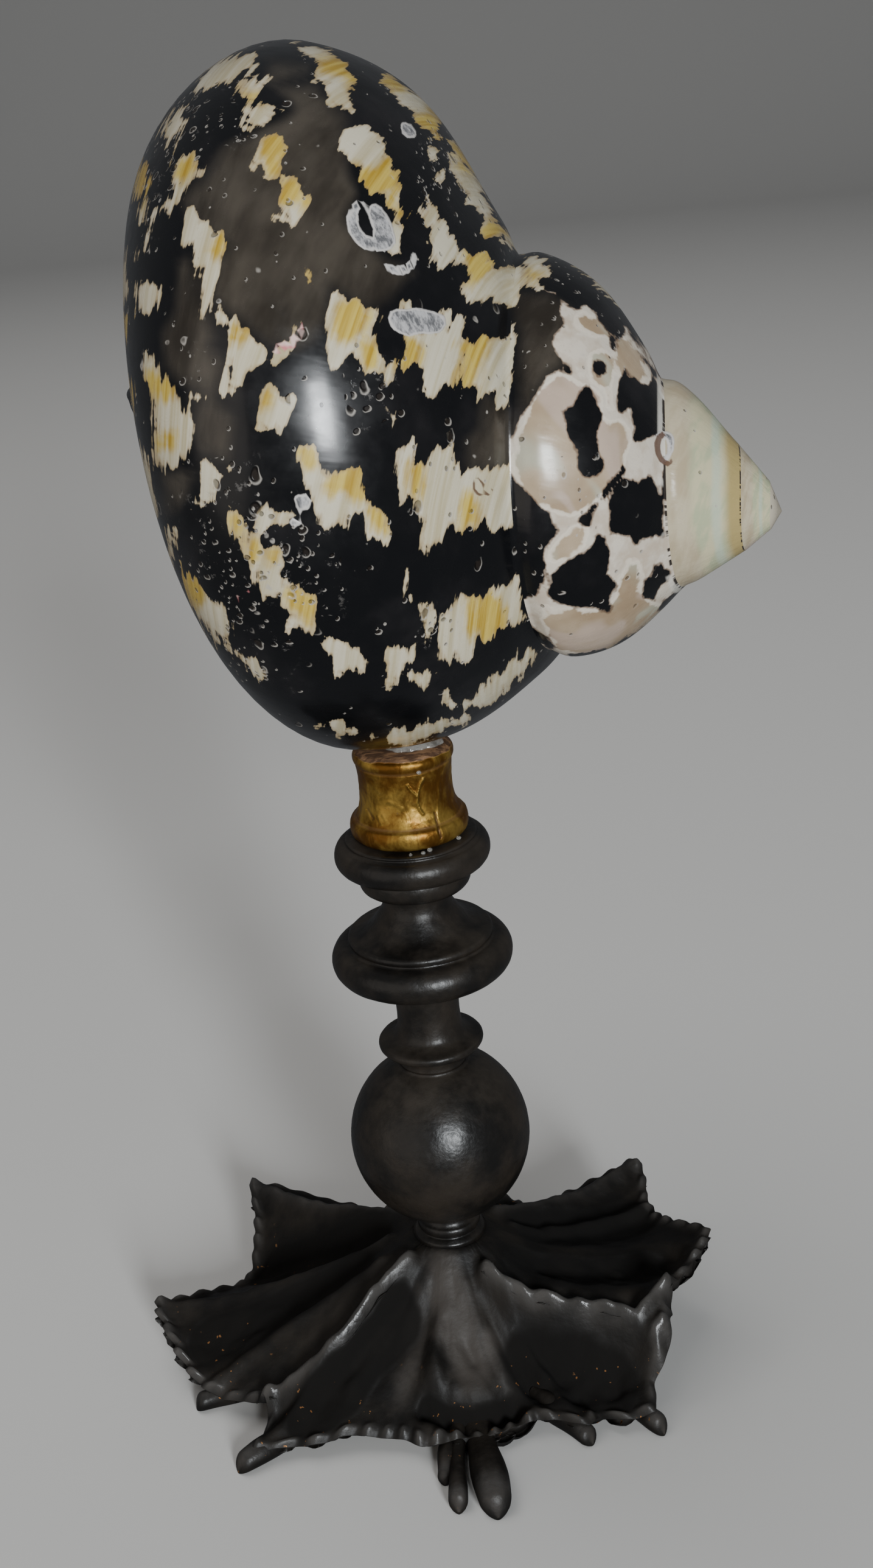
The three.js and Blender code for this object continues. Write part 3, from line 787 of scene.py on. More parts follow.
class Finish:
    """A material being made."""

    def __init__(self, name):
        self.material = bpy.data.materials.new(name)
        self.material.use_nodes = True
        self.tree = self.material.node_tree
        self.tree.nodes.clear()

    def node(self, kind, settings=None, inputs=None, output=0):
        """The one way a node is made: its settings first, then its sockets' values or links."""
        made = self.tree.nodes.new("ShaderNode" + kind)
        for key, value in (settings or {}).items():
            setattr(made, key, value)
        for key, value in (inputs or {}).items():
            if isinstance(value, Socket):
                self.tree.links.new(value.link, made.inputs[key])
            else:
                made.inputs[key].default_value = value
        return Socket(self, made.outputs[output]) if len(made.outputs) else None

    def place(self):
        return self.node("TexCoord", output="Object")

    def part(self, vector, number):
        """One of the three numbers of a vector."""
        return self.node("SeparateXYZ", inputs={0: vector}, output=number)

    def upward(self):
        """How far the surface faces up, -1 to 1."""
        return self.part(self.node("TexCoord", output="Normal"), 2)

    def value(self, name):
        return self.node("Attribute", {"attribute_name": name}, output="Fac")

    def stretched(self, vector, scale, shift=(0, 0, 0)):
        return self.node("Mapping", inputs={"Vector": vector, "Scale": scale, "Location": shift})

    def noise(self, vector, scale, detail=2.0, rough=0.5, distortion=0.0):
        return self.node("TexNoise", inputs={"Vector": vector, "Scale": scale, "Detail": detail,
                                             "Roughness": rough, "Distortion": distortion})

    def cells(self, vector, scale, output="Distance"):
        return self.node("TexVoronoi", {"feature": "F1"}, {"Vector": vector, "Scale": scale}, output)

    def band(self, value, low, high, to_low=0.0, to_high=1.0):
        """Smooth step of a value from low to high; low may be above high."""
        return self.node("MapRange", {"interpolation_type": "SMOOTHSTEP"},
                         {"Value": value, "From Min": low, "From Max": high,
                          "To Min": to_low, "To Max": to_high})

    def mix(self, a, b, factor):
        return self.node("Mix", {"data_type": "RGBA"}, {0: factor, 6: a, 7: b}, 2)

    def bump(self, height, distance, strength):
        return self.node("Bump", inputs={"Height": height, "Distance": distance, "Strength": strength})

    def done(self, **sockets):
        named = {key.replace("_", " "): value for key, value in sockets.items()}
        shader = self.node("BsdfPrincipled", inputs=named)
        self.node("OutputMaterial", inputs={"Surface": shader})
        return self.material


def rgb(r, g, b):
    return (r, g, b, 1.0)


PIT_LEAN = 0.00009                # how far a pit's painted highlight, on its far wall, lies to one side, in metres
# pits: cells in a metre, how they are squeezed, and a shift that sets each size apart
PITS = ((540, (1, 1, 0.75), 0.0), (860, (0.8, 1, 1), 7.3), (1350, (1, 1, 0.8), 3.1))


def shell_finish():
    """Polished shell: black ground, smoky brown in places and in part a painted reflection of the room,
    flames, pearly second whorl, bare spire, pits with painted shade inside and a painted highlight on their
    far walls, and scars.
    """
    f = Finish("shell_polished")
    grown = f.node("UVMap", {"uv_map": "growth"})
    place = f.place()
    age, across = f.part(grown, 0), f.part(grown, 1)
    # streaks run the way the shell grew, a little slanting; outlines across them break into teeth
    slanting = f.node("CombineXYZ", inputs={0: across + age * 2.2, 1: age})
    teeth = f.noise(f.stretched(slanting, (23, 15, 0)), 1.0, 4, 0.58)
    ragged = f.noise(place, 420, 3, 0.6)
    soft = f.noise(place, 110, 2, 0.5)
    cream_side = f.value("cream") + (teeth - 0.5) * 3.6 + (ragged - 0.5) * 1.5
    cream = f.band(cream_side, 0.10, -0.10)
    fringe = f.band(cream_side, -0.5, 0.0)
    ochre = f.band(f.value("ochre") + (teeth - 0.5) * 4 + (ragged - 0.5) * 1.5, 1.3, -0.5)
    # smoky brown where the black thins, in part a painted reflection of the room
    smoke_and_reflection = f.band(f.value("smoke_and_reflection") + (soft - 0.5) * 5, 1.2, -1.5)
    edge = (ragged - 0.5) * 1.8 + (soft - 0.5) * 1.0
    second = f.band(age, -0.74, -0.76)
    nacre = f.band(f.value("nacre") + edge, 0.08, -0.08) * second
    cell_side = f.value("dark") + edge
    left_dark = f.band(cell_side, 0.08, -0.08)
    blush_side = f.value("blush") + edge * 1.4
    blush = f.band(blush_side, 0.25, -0.25)
    streaks = f.noise(f.stretched(slanting, (34, 7, 0)), 1.0, 4, 0.6)
    wide_streaks = f.noise(f.stretched(slanting, (9, 3, 0)), 1.0, 2, 0.5)

    dark = f.mix(rgb(0.0032, 0.0034, 0.0042), rgb(0.012, 0.011, 0.012),
                 f.band(f.noise(place, 90, 4, 0.6), 0.45, 0.75))
    # the smoky brown colour, which also serves as a painted reflection of the room
    veil = f.noise(f.stretched(slanting, (7, 16, 0)), 1.0, 4, 0.65)
    smoky_and_reflected = f.mix(rgb(0.020, 0.016, 0.012), rgb(0.064, 0.054, 0.042),
                  f.band(veil * 0.5 + soft * 0.5, 0.36, 0.66))
    ground = f.mix(dark, smoky_and_reflected, smoke_and_reflection)
    pale = f.mix(rgb(0.43, 0.37, 0.225), rgb(0.58, 0.535, 0.41),
                 f.band(streaks * 0.6 + wide_streaks * 0.4, 0.36, 0.60))
    gold = f.mix(rgb(0.36, 0.225, 0.022), rgb(0.57, 0.43, 0.10), f.band(streaks, 0.35, 0.65))
    patch = f.mix(f.mix(pale, gold, ochre), rgb(0.30, 0.19, 0.07), fringe * 0.55)
    cream_pearl = f.mix(rgb(0.50, 0.42, 0.33), rgb(0.62, 0.56, 0.47), f.band(ragged, 0.35, 0.65))
    peach = f.mix(rgb(0.31, 0.225, 0.14), rgb(0.45, 0.355, 0.25),
                  f.band(f.noise(place, 140, 3, 0.6), 0.3, 0.7))
    sheen = f.noise(place, 75, 2, 0.5, 1.5)
    peach = f.mix(peach, rgb(0.44, 0.47, 0.38), f.band(sheen, 0.54, 0.68) * 0.6)
    peach = f.mix(peach, rgb(0.50, 0.40, 0.35), f.band(sheen, 0.44, 0.34) * 0.5)
    pearl = f.mix(cream_pearl, peach, blush)
    pearl = f.mix(pearl, rgb(0.74, 0.67, 0.56), f.band(abs(blush_side), 0.42, 0.12) * 0.7)
    pearl = f.mix(pearl, gold, ochre * 0.6)
    pearl = f.mix(pearl, rgb(0.13, 0.08, 0.05), f.band(abs(cell_side), 0.30, 0.05) * 0.8)
    pearl = f.mix(pearl, ground, left_dark)
    colour = f.mix(f.mix(ground, patch, cream), pearl, nacre)

    # the ground-down spire: green-cream, beige towards the lower seam, ochre under the upper one
    turns = age + (soft - 0.5) * 0.02
    spire = f.band(age + (soft - 0.5) * 0.22 + (teeth - 0.5) * 0.16, -1.645, -1.665)
    old = f.noise(f.stretched(slanting, (4, 9, 0)), 1.0, 3, 0.6)
    green = f.mix(rgb(0.40, 0.425, 0.275), rgb(0.53, 0.49, 0.32), f.band(old, 0.4, 0.6))
    beige = f.mix(rgb(0.40, 0.33, 0.22), rgb(0.50, 0.44, 0.315), f.band(old, 0.35, 0.65))
    wave = (soft - 0.5) * 0.35
    tip = f.mix(green, beige, f.band(across + wave, 0.60, 0.74))
    under_seam = across + wave * 0.5
    tip = f.mix(tip, rgb(0.36, 0.27, 0.10),
                f.band(under_seam, 0.30, 0.16) * f.band(turns, -2.75, -2.72) * 0.9)
    tip = f.mix(tip, rgb(0.45, 0.53, 0.43), f.band(abs(under_seam - 0.36), 0.09, 0.02) * 0.6)
    tip = f.mix(tip, rgb(0.55, 0.44, 0.40), f.band(turns, -3.35, -3.5))
    colour = f.mix(colour, tip, spire)

    # along the seams: a broken white rim on the second whorl, dark ticks on the spire too
    older = f.band(turns, -0.9, -1.0)
    rim = f.band(across, 0.075, 0.05) * older * f.band(f.noise(place, 260, 2), 0.42, 0.5)
    colour = f.mix(colour, rgb(0.72, 0.69, 0.62), rim * f.band(turns, -1.9, -1.8) * 0.7)
    dashes = f.band(f.noise(f.stretched(grown, (19, 0, 0)), 1.0, 4, 0.7), 0.48, 0.51)
    ticks = f.band(across + (ragged - 0.5) * 0.02, 0.026, 0.014) * older * dashes
    colour = f.mix(colour, rgb(0.03, 0.024, 0.020), ticks * f.band(turns, -2.95, -2.85))

    scar_depth = f.value("scar") + (ragged - 0.5) * 0.6
    scar = f.band(scar_depth, 0.12, -0.12)
    ribs = f.noise(f.stretched(place, (1, 1, 0.4)), 1500, 3, 0.7)
    chalk = f.mix(rgb(0.12, 0.12, 0.125), rgb(0.46, 0.45, 0.45), f.band(ribs, 0.36, 0.62))
    colour = f.mix(colour, chalk, scar)
    colour = f.mix(colour, rgb(0.58, 0.55, 0.52), f.band(abs(scar_depth + 0.1), 0.22, 0.04) * 0.8)
    hoop = f.band(f.value("hoop") + (ragged - 0.5) * 0.2, 0.10, -0.05)
    colour = f.mix(colour, rgb(0.10, 0.048, 0.028), hoop * 0.9)
    rose = f.mix(rgb(0.55, 0.16, 0.17), rgb(0.70, 0.50, 0.45), f.band(ragged, 0.4, 0.6))
    colour = f.mix(colour, rose, f.band(f.value("rose"), 0.15, -0.15))
    inner = f.mix(rgb(0.62, 0.58, 0.55), rgb(0.45, 0.52, 0.50), f.noise(place, 40, 3))
    colour = f.mix(colour, inner, f.band(f.value("inside"), 0.25, 0.6))

    # pits left by boring sponges: many in the rough places, a few elsewhere; each is painted darker inside as
    # painted shade
    rough_place = f.band(f.value("pitted") + (soft - 0.5) * 6, 1.5, -1.5)
    few = f.band(f.noise(place, 38, 3, 0.6), 0.42, 0.68, 0.985, 0.87)
    bar = few - rough_place * 0.34
    uneven = f.band(f.noise(place, 700, 1), 0.3, 0.7, 0.75, 1.4)
    pit = pit_highlight = 0.0
    for size, squeeze, shift in PITS:
        spots = f.stretched(place, squeeze, (shift, shift, 0))
        lifted = f.stretched(place, squeeze, (shift + PIT_LEAN, shift, -PIT_LEAN))
        reach = f.cells(spots, size) * uneven
        lot = f.node("SeparateColor", inputs={0: f.cells(spots, size, output="Color")}, output=0)
        kept = f.band(lot - bar, 0.0, 0.02)
        pit = f.band(reach, 0.26, 0.16) * kept + pit
        # painted highlight: the far wall of a pit is painted lighter, as if it caught the light
        wall = (f.band(reach, 0.34, 0.27) - f.band(f.cells(lifted, size) * uneven, 0.33, 0.23)).most(0.0)
        pit_highlight = wall * kept + pit_highlight
    pit_highlight, pit = pit_highlight.least(1.0), pit.least(1.0)
    # painted shade inside the pits
    colour = f.mix(colour, f.mix(colour, rgb(0.02, 0.014, 0.010), 0.6), pit)
    # painted highlight on the pits' far walls
    colour = f.mix(colour, rgb(0.40, 0.37, 0.33), pit_highlight * 0.75)
    scratches = f.band(f.noise(f.stretched(place, (1, 0.4, 1)), 900, 4, 0.75), 0.60, 0.70)
    scratches = scratches * rough_place * 0.25
    colour = f.mix(colour, rgb(0.30, 0.28, 0.26), scratches)

    waves = f.noise(f.stretched(grown, (70, 3, 0)), 1.0, 3, 0.5)
    lumps = f.noise(place, 120, 2, 0.5)
    height = waves * 0.30 + lumps * 0.5 + scar * 0.25 - pit * 1.1 - scratches * 0.3
    roughness = f.band(ragged, 0.3, 0.7, 0.20, 0.30) + rough_place * 0.08
    return f.done(Base_Color=colour, Roughness=roughness, Normal=f.bump(height, 0.00032, 0.7),
                  Coat_Weight=0.40, Coat_Roughness=0.14, IOR=1.5)


shell = settle(shell_mesh(), "shell_body", shell_finish(), ["shell"])
mark_shell(shell.data)


# ---- stem and collar ----
def bead(r, bulge, low, high, count=10):
    """Half round on a turned profile, from its bottom to its top."""
    middle, half = (low + high) / 2, (high - low) / 2
    turns = [-math.pi / 2 + math.pi * k / count for k in range(count + 1)]
    return [(r + bulge * math.cos(turn), middle + half * math.sin(turn)) for turn in turns]


def eased(points, count=4):
    """A smooth curve through the points of a profile."""
    out = []
    for k in range(len(points) - 1):
        p0, p1 = points[max(k - 1, 0)], points[k]
        p2, p3 = points[k + 1], points[min(k + 2, len(points) - 1)]
        for m in range(count):
            t = m / count
            out.append(tuple(0.5 * (2 * b + (c - a) * t + (2 * a - 5 * b + 4 * c - d) * t * t
                                    + (3 * b - a - 3 * c + d) * t ** 3)
                             for a, b, c, d in zip(p0, p1, p2, p3)))
    return out + [points[-1]]


def turned_mesh(profile, sides=96, wobble=0.03):
    """Spins a profile round the stem, with the slight unevenness of hand work."""
    bm = bmesh.new()
    line = [bm.verts.new((r, 0, z)) for r, z in profile]
    edges = [bm.edges.new(pair) for pair in zip(line, line[1:])]
    bmesh.ops.spin(bm, geom=line + edges, cent=(0, 0, 0), axis=(0, 0, 1), angle=TURN, steps=sides,
                   use_merge=True)
    bmesh.ops.remove_doubles(bm, verts=bm.verts, dist=1e-4)
    bmesh.ops.recalc_face_normals(bm, faces=bm.faces)
    for v in bm.verts:
        if math.hypot(v.co.x, v.co.y) > 1:
            v.co += (v.normal * wobble * noise.noise(v.co * 0.45)
                     + v.normal * wobble * 0.5 * noise.noise(v.co * 1.6))
    bmesh.ops.translate(bm, verts=bm.verts, vec=(STEM_X, STEM_Y, 0))
    return bm


# radius and height, from the bottom up
STEM_PROFILE = (
    [(0, 19.2), (4.9, 19.2), (4.5, 19.6), (4.1, 20.0)] + bead(3.8, 0.4, 20.1, 21.5, 8) + [(3.55, 21.9)]
    + bead(0, 11.7, 22.4, 46.2, 44)[4:-5]
    + eased([(4.35, 45.4), (4.3, 46.3), (4.9, 47.3), (6.3, 47.75)], 3) + bead(6.3, 0.42, 47.8, 48.9, 6)
    + eased([(6.0, 49.0), (5.1, 49.25), (4.45, 49.8), (4.1, 51.0), (4.0, 53.5), (4.3, 56.9), (5.4, 57.9),
             (8.2, 58.4)], 3)
    + bead(9.4, 2.0, 58.6, 63.0, 14) + bead(8.6, 0.5, 63.1, 64.2, 6)
    + eased([(7.6, 64.5), (6.2, 65.2), (5.0, 66.8), (4.4, 67.9), (4.4, 69.4), (4.9, 69.9), (6.3, 70.3)], 3)
    + bead(6.45, 0.55, 70.5, 73.2, 10) + bead(8.4, 1.23, 73.3, 76.6, 14)
    + [(8.3, 76.75)] + bead(7.75, 0.35, 76.8, 77.3, 6) + [(6.9, 77.3), (0, 77.3)])
COLLAR_PROFILE = (
    [(0, 77.6), (6.7, 77.6)] + bead(6.75, 0.5, 77.7, 80.0, 10)
    + eased([(6.6, 80.1), (6.35, 80.5), (5.95, 81.3), (5.7, 82.6), (5.66, 84.2), (5.72, 85.6),
             (5.86, 86.8)], 10)
    + bead(5.75, 0.4, 87.1, 88.5, 12) + [(5.7, 88.6), (5.2, 89.0), (0, 89.0)])


def ridge(points, path, width):
    """How near each point is to a path, 1 on it and 0 far away."""
    path = np.array(path, float)
    near = np.full(len(points), 1e9)
    for a, b in zip(path, path[1:]):
        near = np.minimum(near, off_segment(points, a, b))
    return np.exp(-(near / width) ** 2)


# wrinkles of the gold leaf and cracks in it: height, width, then places in the picture
WRINKLES = [
    (1.0, 2.0, (669, 1291), (677, 1301), (686, 1309)),
    (1.0, 2.2, (696, 1280), (691, 1288), (688, 1298), (686, 1309), (686, 1320), (690, 1330), (695, 1337)),
    (0.3, 3.0, (722, 1288), (721, 1310), (720, 1337)), (0.3, 3.5, (640, 1318), (650, 1322), (661, 1328)),
    (0.3, 2.5, (621, 1342), (628, 1356)), (0.3, 2.5, (629, 1340), (637, 1354)),
    (-1.0, 1.8, (715, 1336), (718, 1350), (721, 1362), (726, 1377)), (-0.5, 2.0, (604, 1330), (613, 1345)),
]


def crease_collar(mesh):
    """Writes the height of the wrinkles, 1 at most, on the side that the picture shows."""
    places, facing = facing_camera(mesh)
    picture = in_picture(places)
    height = sum(lift * ridge(picture, path, width) for lift, width, *path in WRINKLES)
    write_layer(mesh, "crease", height * (facing > 0))


COLLAR_CUT, COLLAR_TUCK, COLLAR_LINE = 0.08835, 0.08705, 0.08015    # heights on the collar, in metres


def gilt_finish():
    """Gold leaf on wood, rubbed and wrinkled, dark in its grooves, bare wood above the cut."""
    f = Finish("gilt")
    place = f.place()
    height = f.part(place, 2)
    down = f.stretched(place, (1, 1, 0.55))
    cloud = f.noise(place, 190, 4, 0.6)
    runs = f.noise(down, 560, 5, 0.65, 0.6)
    crease = f.value("crease")
    rubbed = f.band(cloud * 0.65 + runs * 0.35 + crease * 0.10, 0.42, 0.62)
    gold = f.mix(rgb(0.24, 0.105, 0.018), rgb(0.60, 0.38, 0.085), rubbed)
    cut = f.noise(f.stretched(place, (0.35, 1, 1)), 1500, 3, 0.6)
    wood = f.mix(rgb(0.07, 0.035, 0.018), rgb(0.22, 0.12, 0.06), f.band(cut, 0.4, 0.65))
    bare = f.band(height + (cloud - 0.5) * 0.0012, COLLAR_CUT, COLLAR_CUT + 0.0002)
    grime = f.band(f.noise(place, 1200, 3, 0.7), 0.62, 0.72) * 0.7
    dark = f.band(abs(height - COLLAR_LINE), 0.00035, 0.0) * 0.8
    dark = dark.most(f.band(abs(height - COLLAR_TUCK), 0.0004, 0.0) * 0.8).most(grime).most(crease * -1.0)
    colour = f.mix(f.mix(gold, rgb(0.10, 0.05, 0.015), dark), wood, bare)
    bump = f.bump(cloud * 0.5 + runs * 0.5 + cut * bare + crease * 1.2, 0.00025, 0.75)
    return f.done(Base_Color=colour, Metallic=(1 - bare) * f.band(dark, 0, 1, 0.9, 0.3),
                  Roughness=f.band(runs, 0.3, 0.7, 0.30, 0.52).most(bare * 0.7), Normal=bump)


def black_finish(name, cast):
    """Satin black over wood or a casting: browner where it is rubbed, dull where dust lies; on the casting,
    lighter grey as rubbed paint and painted sheen on crests, beads, apron and fingertips, and darker and
    duller as painted shade under crests and lips and in hollows.
    """
    f = Finish(name)
    place = f.place()
    cloud = f.noise(place, 130, 4, 0.6)
    fine = f.noise(place, 1400, 3, 0.6)
    brown = rgb(0.012, 0.0095, 0.0072) if cast else rgb(0.022, 0.017, 0.0125)
    black = f.mix(rgb(0.006, 0.0054, 0.0048), brown, f.band(cloud, 0.35, 0.7))
    dust = f.band(f.upward(), 0.35, 0.95) * f.band(cloud, 0.38, 0.66) * (0.15 if cast else 0.35)
    colour = f.mix(black, rgb(0.050, 0.042, 0.033), dust)
    grain = f.noise(place, 420, 4, 0.55) + fine * 0.25
    if not cast:
        bump = f.bump(grain, 0.00024, 0.5)
        return f.done(Base_Color=colour, Normal=bump, Specular_IOR_Level=0.55,
                      Roughness=f.band(fine * 0.5 + cloud * 0.5, 0.3, 0.7, 0.30, 0.46) + dust * 0.3)
    # the grime value is painted shade: it darkens and dulls the casting under crests and lips and in hollows
    worn_and_sheen, grime = f.value("worn_and_sheen"), f.band(f.value("grime") + (cloud - 0.5) * 0.5, 0.15, 0.6)
    # greyed: lighter grey on the apron and the tops of the fingers, rubbed paint and painted sheen
    greyed_and_sheen = f.band(f.value("greyed_and_sheen") + (cloud - 0.5) * 0.8, 0.3, 0.9)
    colour = f.mix(colour, rgb(0.046, 0.040, 0.035), greyed_and_sheen)
    # worn crests, beads and fingertips are lighter grey, rubbed paint and painted sheen, and glossier
    rubbed = worn_and_sheen * f.band(cloud, 0.35, 0.6, 0.55, 1.0)
    low = f.band(f.part(place, 2), 0.009, 0.004)
    # copper shows through in specks near the edge, in loose groups
    spot = f.band(f.noise(place, 1100, 2, 0.5), 0.70, 0.725) * low * f.band(cloud, 0.47, 0.52)
    colour = f.mix(colour, rgb(0.070, 0.066, 0.062), rubbed * 0.8)
    # painted shade where the grime value is high
    colour = f.mix(colour, rgb(0.004, 0.0035, 0.003), grime * 0.9)
    colour = f.mix(colour, rgb(0.50, 0.24, 0.09), spot)
    bump = f.bump(grain * 0.7 + f.noise(place, 160, 3, 0.6) * 0.8, 0.0004, 0.5)
    return f.done(Base_Color=colour, Metallic=spot, Normal=bump, Specular_IOR_Level=0.36,
                  Roughness=(f.band(cloud, 0.3, 0.7, 0.50, 0.60) - worn_and_sheen * 0.32).most(grime * 0.95))


settle(turned_mesh(STEM_PROFILE), "stem_turning", black_finish("stem_black", False), ["stem"])
collar = settle(turned_mesh(COLLAR_PROFILE, 320, 0.06), "collar_turning", gilt_finish(), ["collar"])
crease_collar(collar.data)

# ---- foot ----
FOOT_NECK, FOOT_TOP, FOOT_SHIFT, FOOT_THICK = 5.0, 19.0, 0.5, 1.7
SECTORS, ROWS = 720, 62
BEAD_PITCH, TONGUE_PITCH = 2.4, 2.9       # along the margin
TONGUES_START, TONGUES_SPAN = -188, 26    # the azimuths with deep tongues
RIM_WIDTH, CURL_WIDTH = 0.8, 1.8
# azimuth and radius of the leaves' margin
MARGIN = [
    (-185.2, 43.0), (-178, 40.6), (-171, 38.4), (-166.4, 36.8), (-161, 33.5), (-157, 31.0), (-152, 29.6),
    (-147.5, 31.5), (-144.2, 35.2), (-139.5, 30.5), (-134.9, 28.5), (-129, 25.2), (-123.2, 23.9),
    (-118, 23.0),
    (-112, 22.6), (-105.3, 23.5), (-97, 22.2), (-92, 21.4), (-86, 21.8), (-80, 21.6), (-74, 20.9),
    (-66.7, 21.5),
    (-61, 23.0), (-55, 26.6), (-50.5, 25.6), (-45, 29.5), (-41, 31.6), (-36, 29.6), (-30, 30.6), (-24, 29.8),
    (-17, 29.2), (-10, 31.0), (-3, 33.4), (3, 34.9), (9, 33.0), (14, 31.2), (20, 30.6), (27, 31.2),
    (33, 33.6),
    (38.5, 35.6), (44, 33.6), (52, 28.8), (60, 26.8), (68, 27.4), (76, 29.8), (84, 34.0), (92, 36.2),
    (99, 33.2),
    (107, 28.8), (115, 28.0), (122, 30.2), (128, 33.8), (133, 38.0), (137.5, 41.2), (142, 37.4),
    (146.5, 35.4),
    (154, 33.2), (161, 33.7), (168, 38.0),
]
# azimuth, height of the edge, height half way in
HEIGHTS = [
    (-185.2, 8.0, 10.4), (-175, 5.2, 10.8), (-166, 1.8, 11.2), (-156, 3.6, 12.2), (-144, 1.9, 10.4),
    (-123, 2.6, 9.6),
    (-105, 2.3, 9.8), (-88, 2.4, 9.2), (-66, 2.6, 9.2), (-52, 2.4, 9.4), (-41, 2.4, 10.4), (-28, 8.6, 14.4),
    (-17, 12.4, 14.6), (3, 14.0, 12.6), (20, 10.0, 11.0), (38.5, 11.5, 13.0), (60, 4.4, 9.2), (92, 2.2, 12.0),
    (115, 5.0, 9.4), (137.5, 10.0, 12.6), (146.5, 6.0, 10.8), (161, 4.0, 9.8),
]
# folds: height, width, then azimuth and radius along each
FOLDS = [
    (2.5, 1.2, (-138, 7.5), (-143, 11.4), (-142.4, 14.7), (-143.6, 19.0), (-149.2, 25.5), (-152.8, 29.8)),
    (-1.1, 2.6, (-124, 11), (-132, 17), (-140, 24), (-146, 29)),
    (0.9, 1.1, (-119, 8), (-127, 12.5), (-132, 17), (-135, 21)),
    (-0.7, 1.7, (-110, 9), (-112, 14), (-113, 18)),
    (-0.5, 0.8, (-98, 11), (-98.5, 15), (-98, 18)),
    (0.55, 1.0, (-78, 8), (-73, 13), (-69, 17), (-66, 20)),
    (-0.9, 1.4, (-68, 9), (-62, 14), (-60, 19)),
    (-0.7, 0.9, (-87, 12.8), (-85, 14)),
    (0.8, 1.6, (-105, 15.4), (-97, 16.9), (-88, 17.3), (-80, 17.0), (-71, 15.8)),
    (-3.0, 1.2, (-106, 18.9), (-97, 19.5), (-88, 19.7), (-80, 19.4), (-71, 18.8)),
    (0.7, 0.9, (-69, 9), (-61, 13.5), (-55, 17), (-50, 21)),
    (3.0, 1.15, (-59, 8.2), (-52, 10.4), (-46.4, 13.5), (-37.4, 17.6), (-31.9, 21.9), (-28.8, 26.0),
     (-18, 28.6)),
    (-3.4, 2.9, (-57, 16.5), (-47, 21), (-40, 25)),
    (-2.4, 3.0, (-22, 10), (-15, 16), (-9, 22), (-5, 28)),
    (2.6, 1.5, (-30, 28.6), (-27, 29.2)),
    (1.2, 1.2, (16, 9), (22, 18), (24, 29)),
    (1.6, 1.4, (34, 8), (38, 18), (38.5, 34)),
    (-1.4, 2.4, (58, 10), (60, 18), (60, 25)),
    (1.4, 1.5, (88, 8), (92, 18), (92, 34)),
    (-1.4, 2.4, (112, 10), (114, 18), (114, 26)),
    (1.7, 1.4, (130, 8), (134, 18), (137, 30), (137.5, 40)),
    (-1.2, 2.2, (150, 11), (153, 20), (154, 31)),
    (1.0, 1.2, (166, 9), (171, 20), (174, 32), (175, 41)),
    (-1.4, 3.0, (-177, 13), (-176, 22), (-175, 34)),
    (0.8, 1.0, (-166, 10), (-166, 22), (-166, 34)),
]
# where the paint is lighter grey, as rubbed paint and painted sheen: how much, width, then azimuth and radius
# along each
GREYED_AND_SHEEN = [
    (1.0, 3.6, (-100, 7), (-94, 11), (-87, 14)), (0.6, 3.2, (-121, 10), (-117, 15), (-118, 19)),
    (0.6, 1.5, (-123, 9), (-132, 14), (-137, 19)), (0.9, 2.0, (-74, 13), (-69, 16.5)),
]
# painted shade: where the paint is darkened and dulled, under crests and lips and in the hollows of the
# folds: width, then azimuth and radius along each
PAINTED_SHADE_PATHS = [
    (1.7, (-106, 19.0), (-97, 19.7), (-88, 19.9), (-80, 19.6), (-71, 18.9)), (4.4, (-58, 17), (-50, 20),
    (-43, 25)),
    (3.5, (-47, 21), (-44, 24)), (3.4, (-131, 12), (-137, 17.5), (-137.5, 22), (-140, 27)),
    (4.0, (-24, 11), (-14, 18), (-6, 25)), (4.0, (-178, 14), (-176, 24), (-176, 34)),
    (5.0, (150, 14), (155, 28)), (5.0, (20, 13), (22, 26)), (5.0, (62, 12), (64, 24)), (5.0, (112, 12),
    (115, 24)),
]
# feet under the margin: azimuth and radius of both ends, half width, height at both ends
FINGERS = [
    (-86.5, 14, -84.9, 33.4, 2.1, 2.6, 3.4), (-94.5, 14, -93.2, 31.8, 1.1, 2.4, 2.3),
    (-97.5, 17, -97.0, 27.0, 1.1, 2.2, 1.7), (-143.0, 22, -144.3, 36.4, 1.5, 3.0, 2.6),
    (-58.0, 17, -54.6, 27.2, 1.3, 4.0, 2.1), (-37.0, 25, -40.9, 33.0, 1.15, 2.6, 2.4),
    (92.0, 22, 92.0, 36.6, 2.0, 7.0, 2.8), (-166.0, 26, -166.5, 37.0, 1.4, 4.6, 2.4),
]


def around(table, column, degrees):
    """A column of a table by azimuth, smoothed, one value for each sector."""
    azimuths = np.arange(SECTORS) * 360 / SECTORS - 180
    values = np.interp(azimuths, [row[0] for row in table], [row[column] for row in table], period=360)
    reach = range(-round(3 * degrees * SECTORS / 360), round(3 * degrees * SECTORS / 360) + 1)
    weights = [math.exp(-0.5 * (k * 360 / SECTORS / degrees) ** 2) for k in reach]
    return sum(w * np.roll(values, k) for w, k in zip(weights, reach)) / sum(weights)


def on_plan(azimuth, radius):
    return np.array((radius * math.cos(math.radians(azimuth)), radius * math.sin(math.radians(azimuth))))


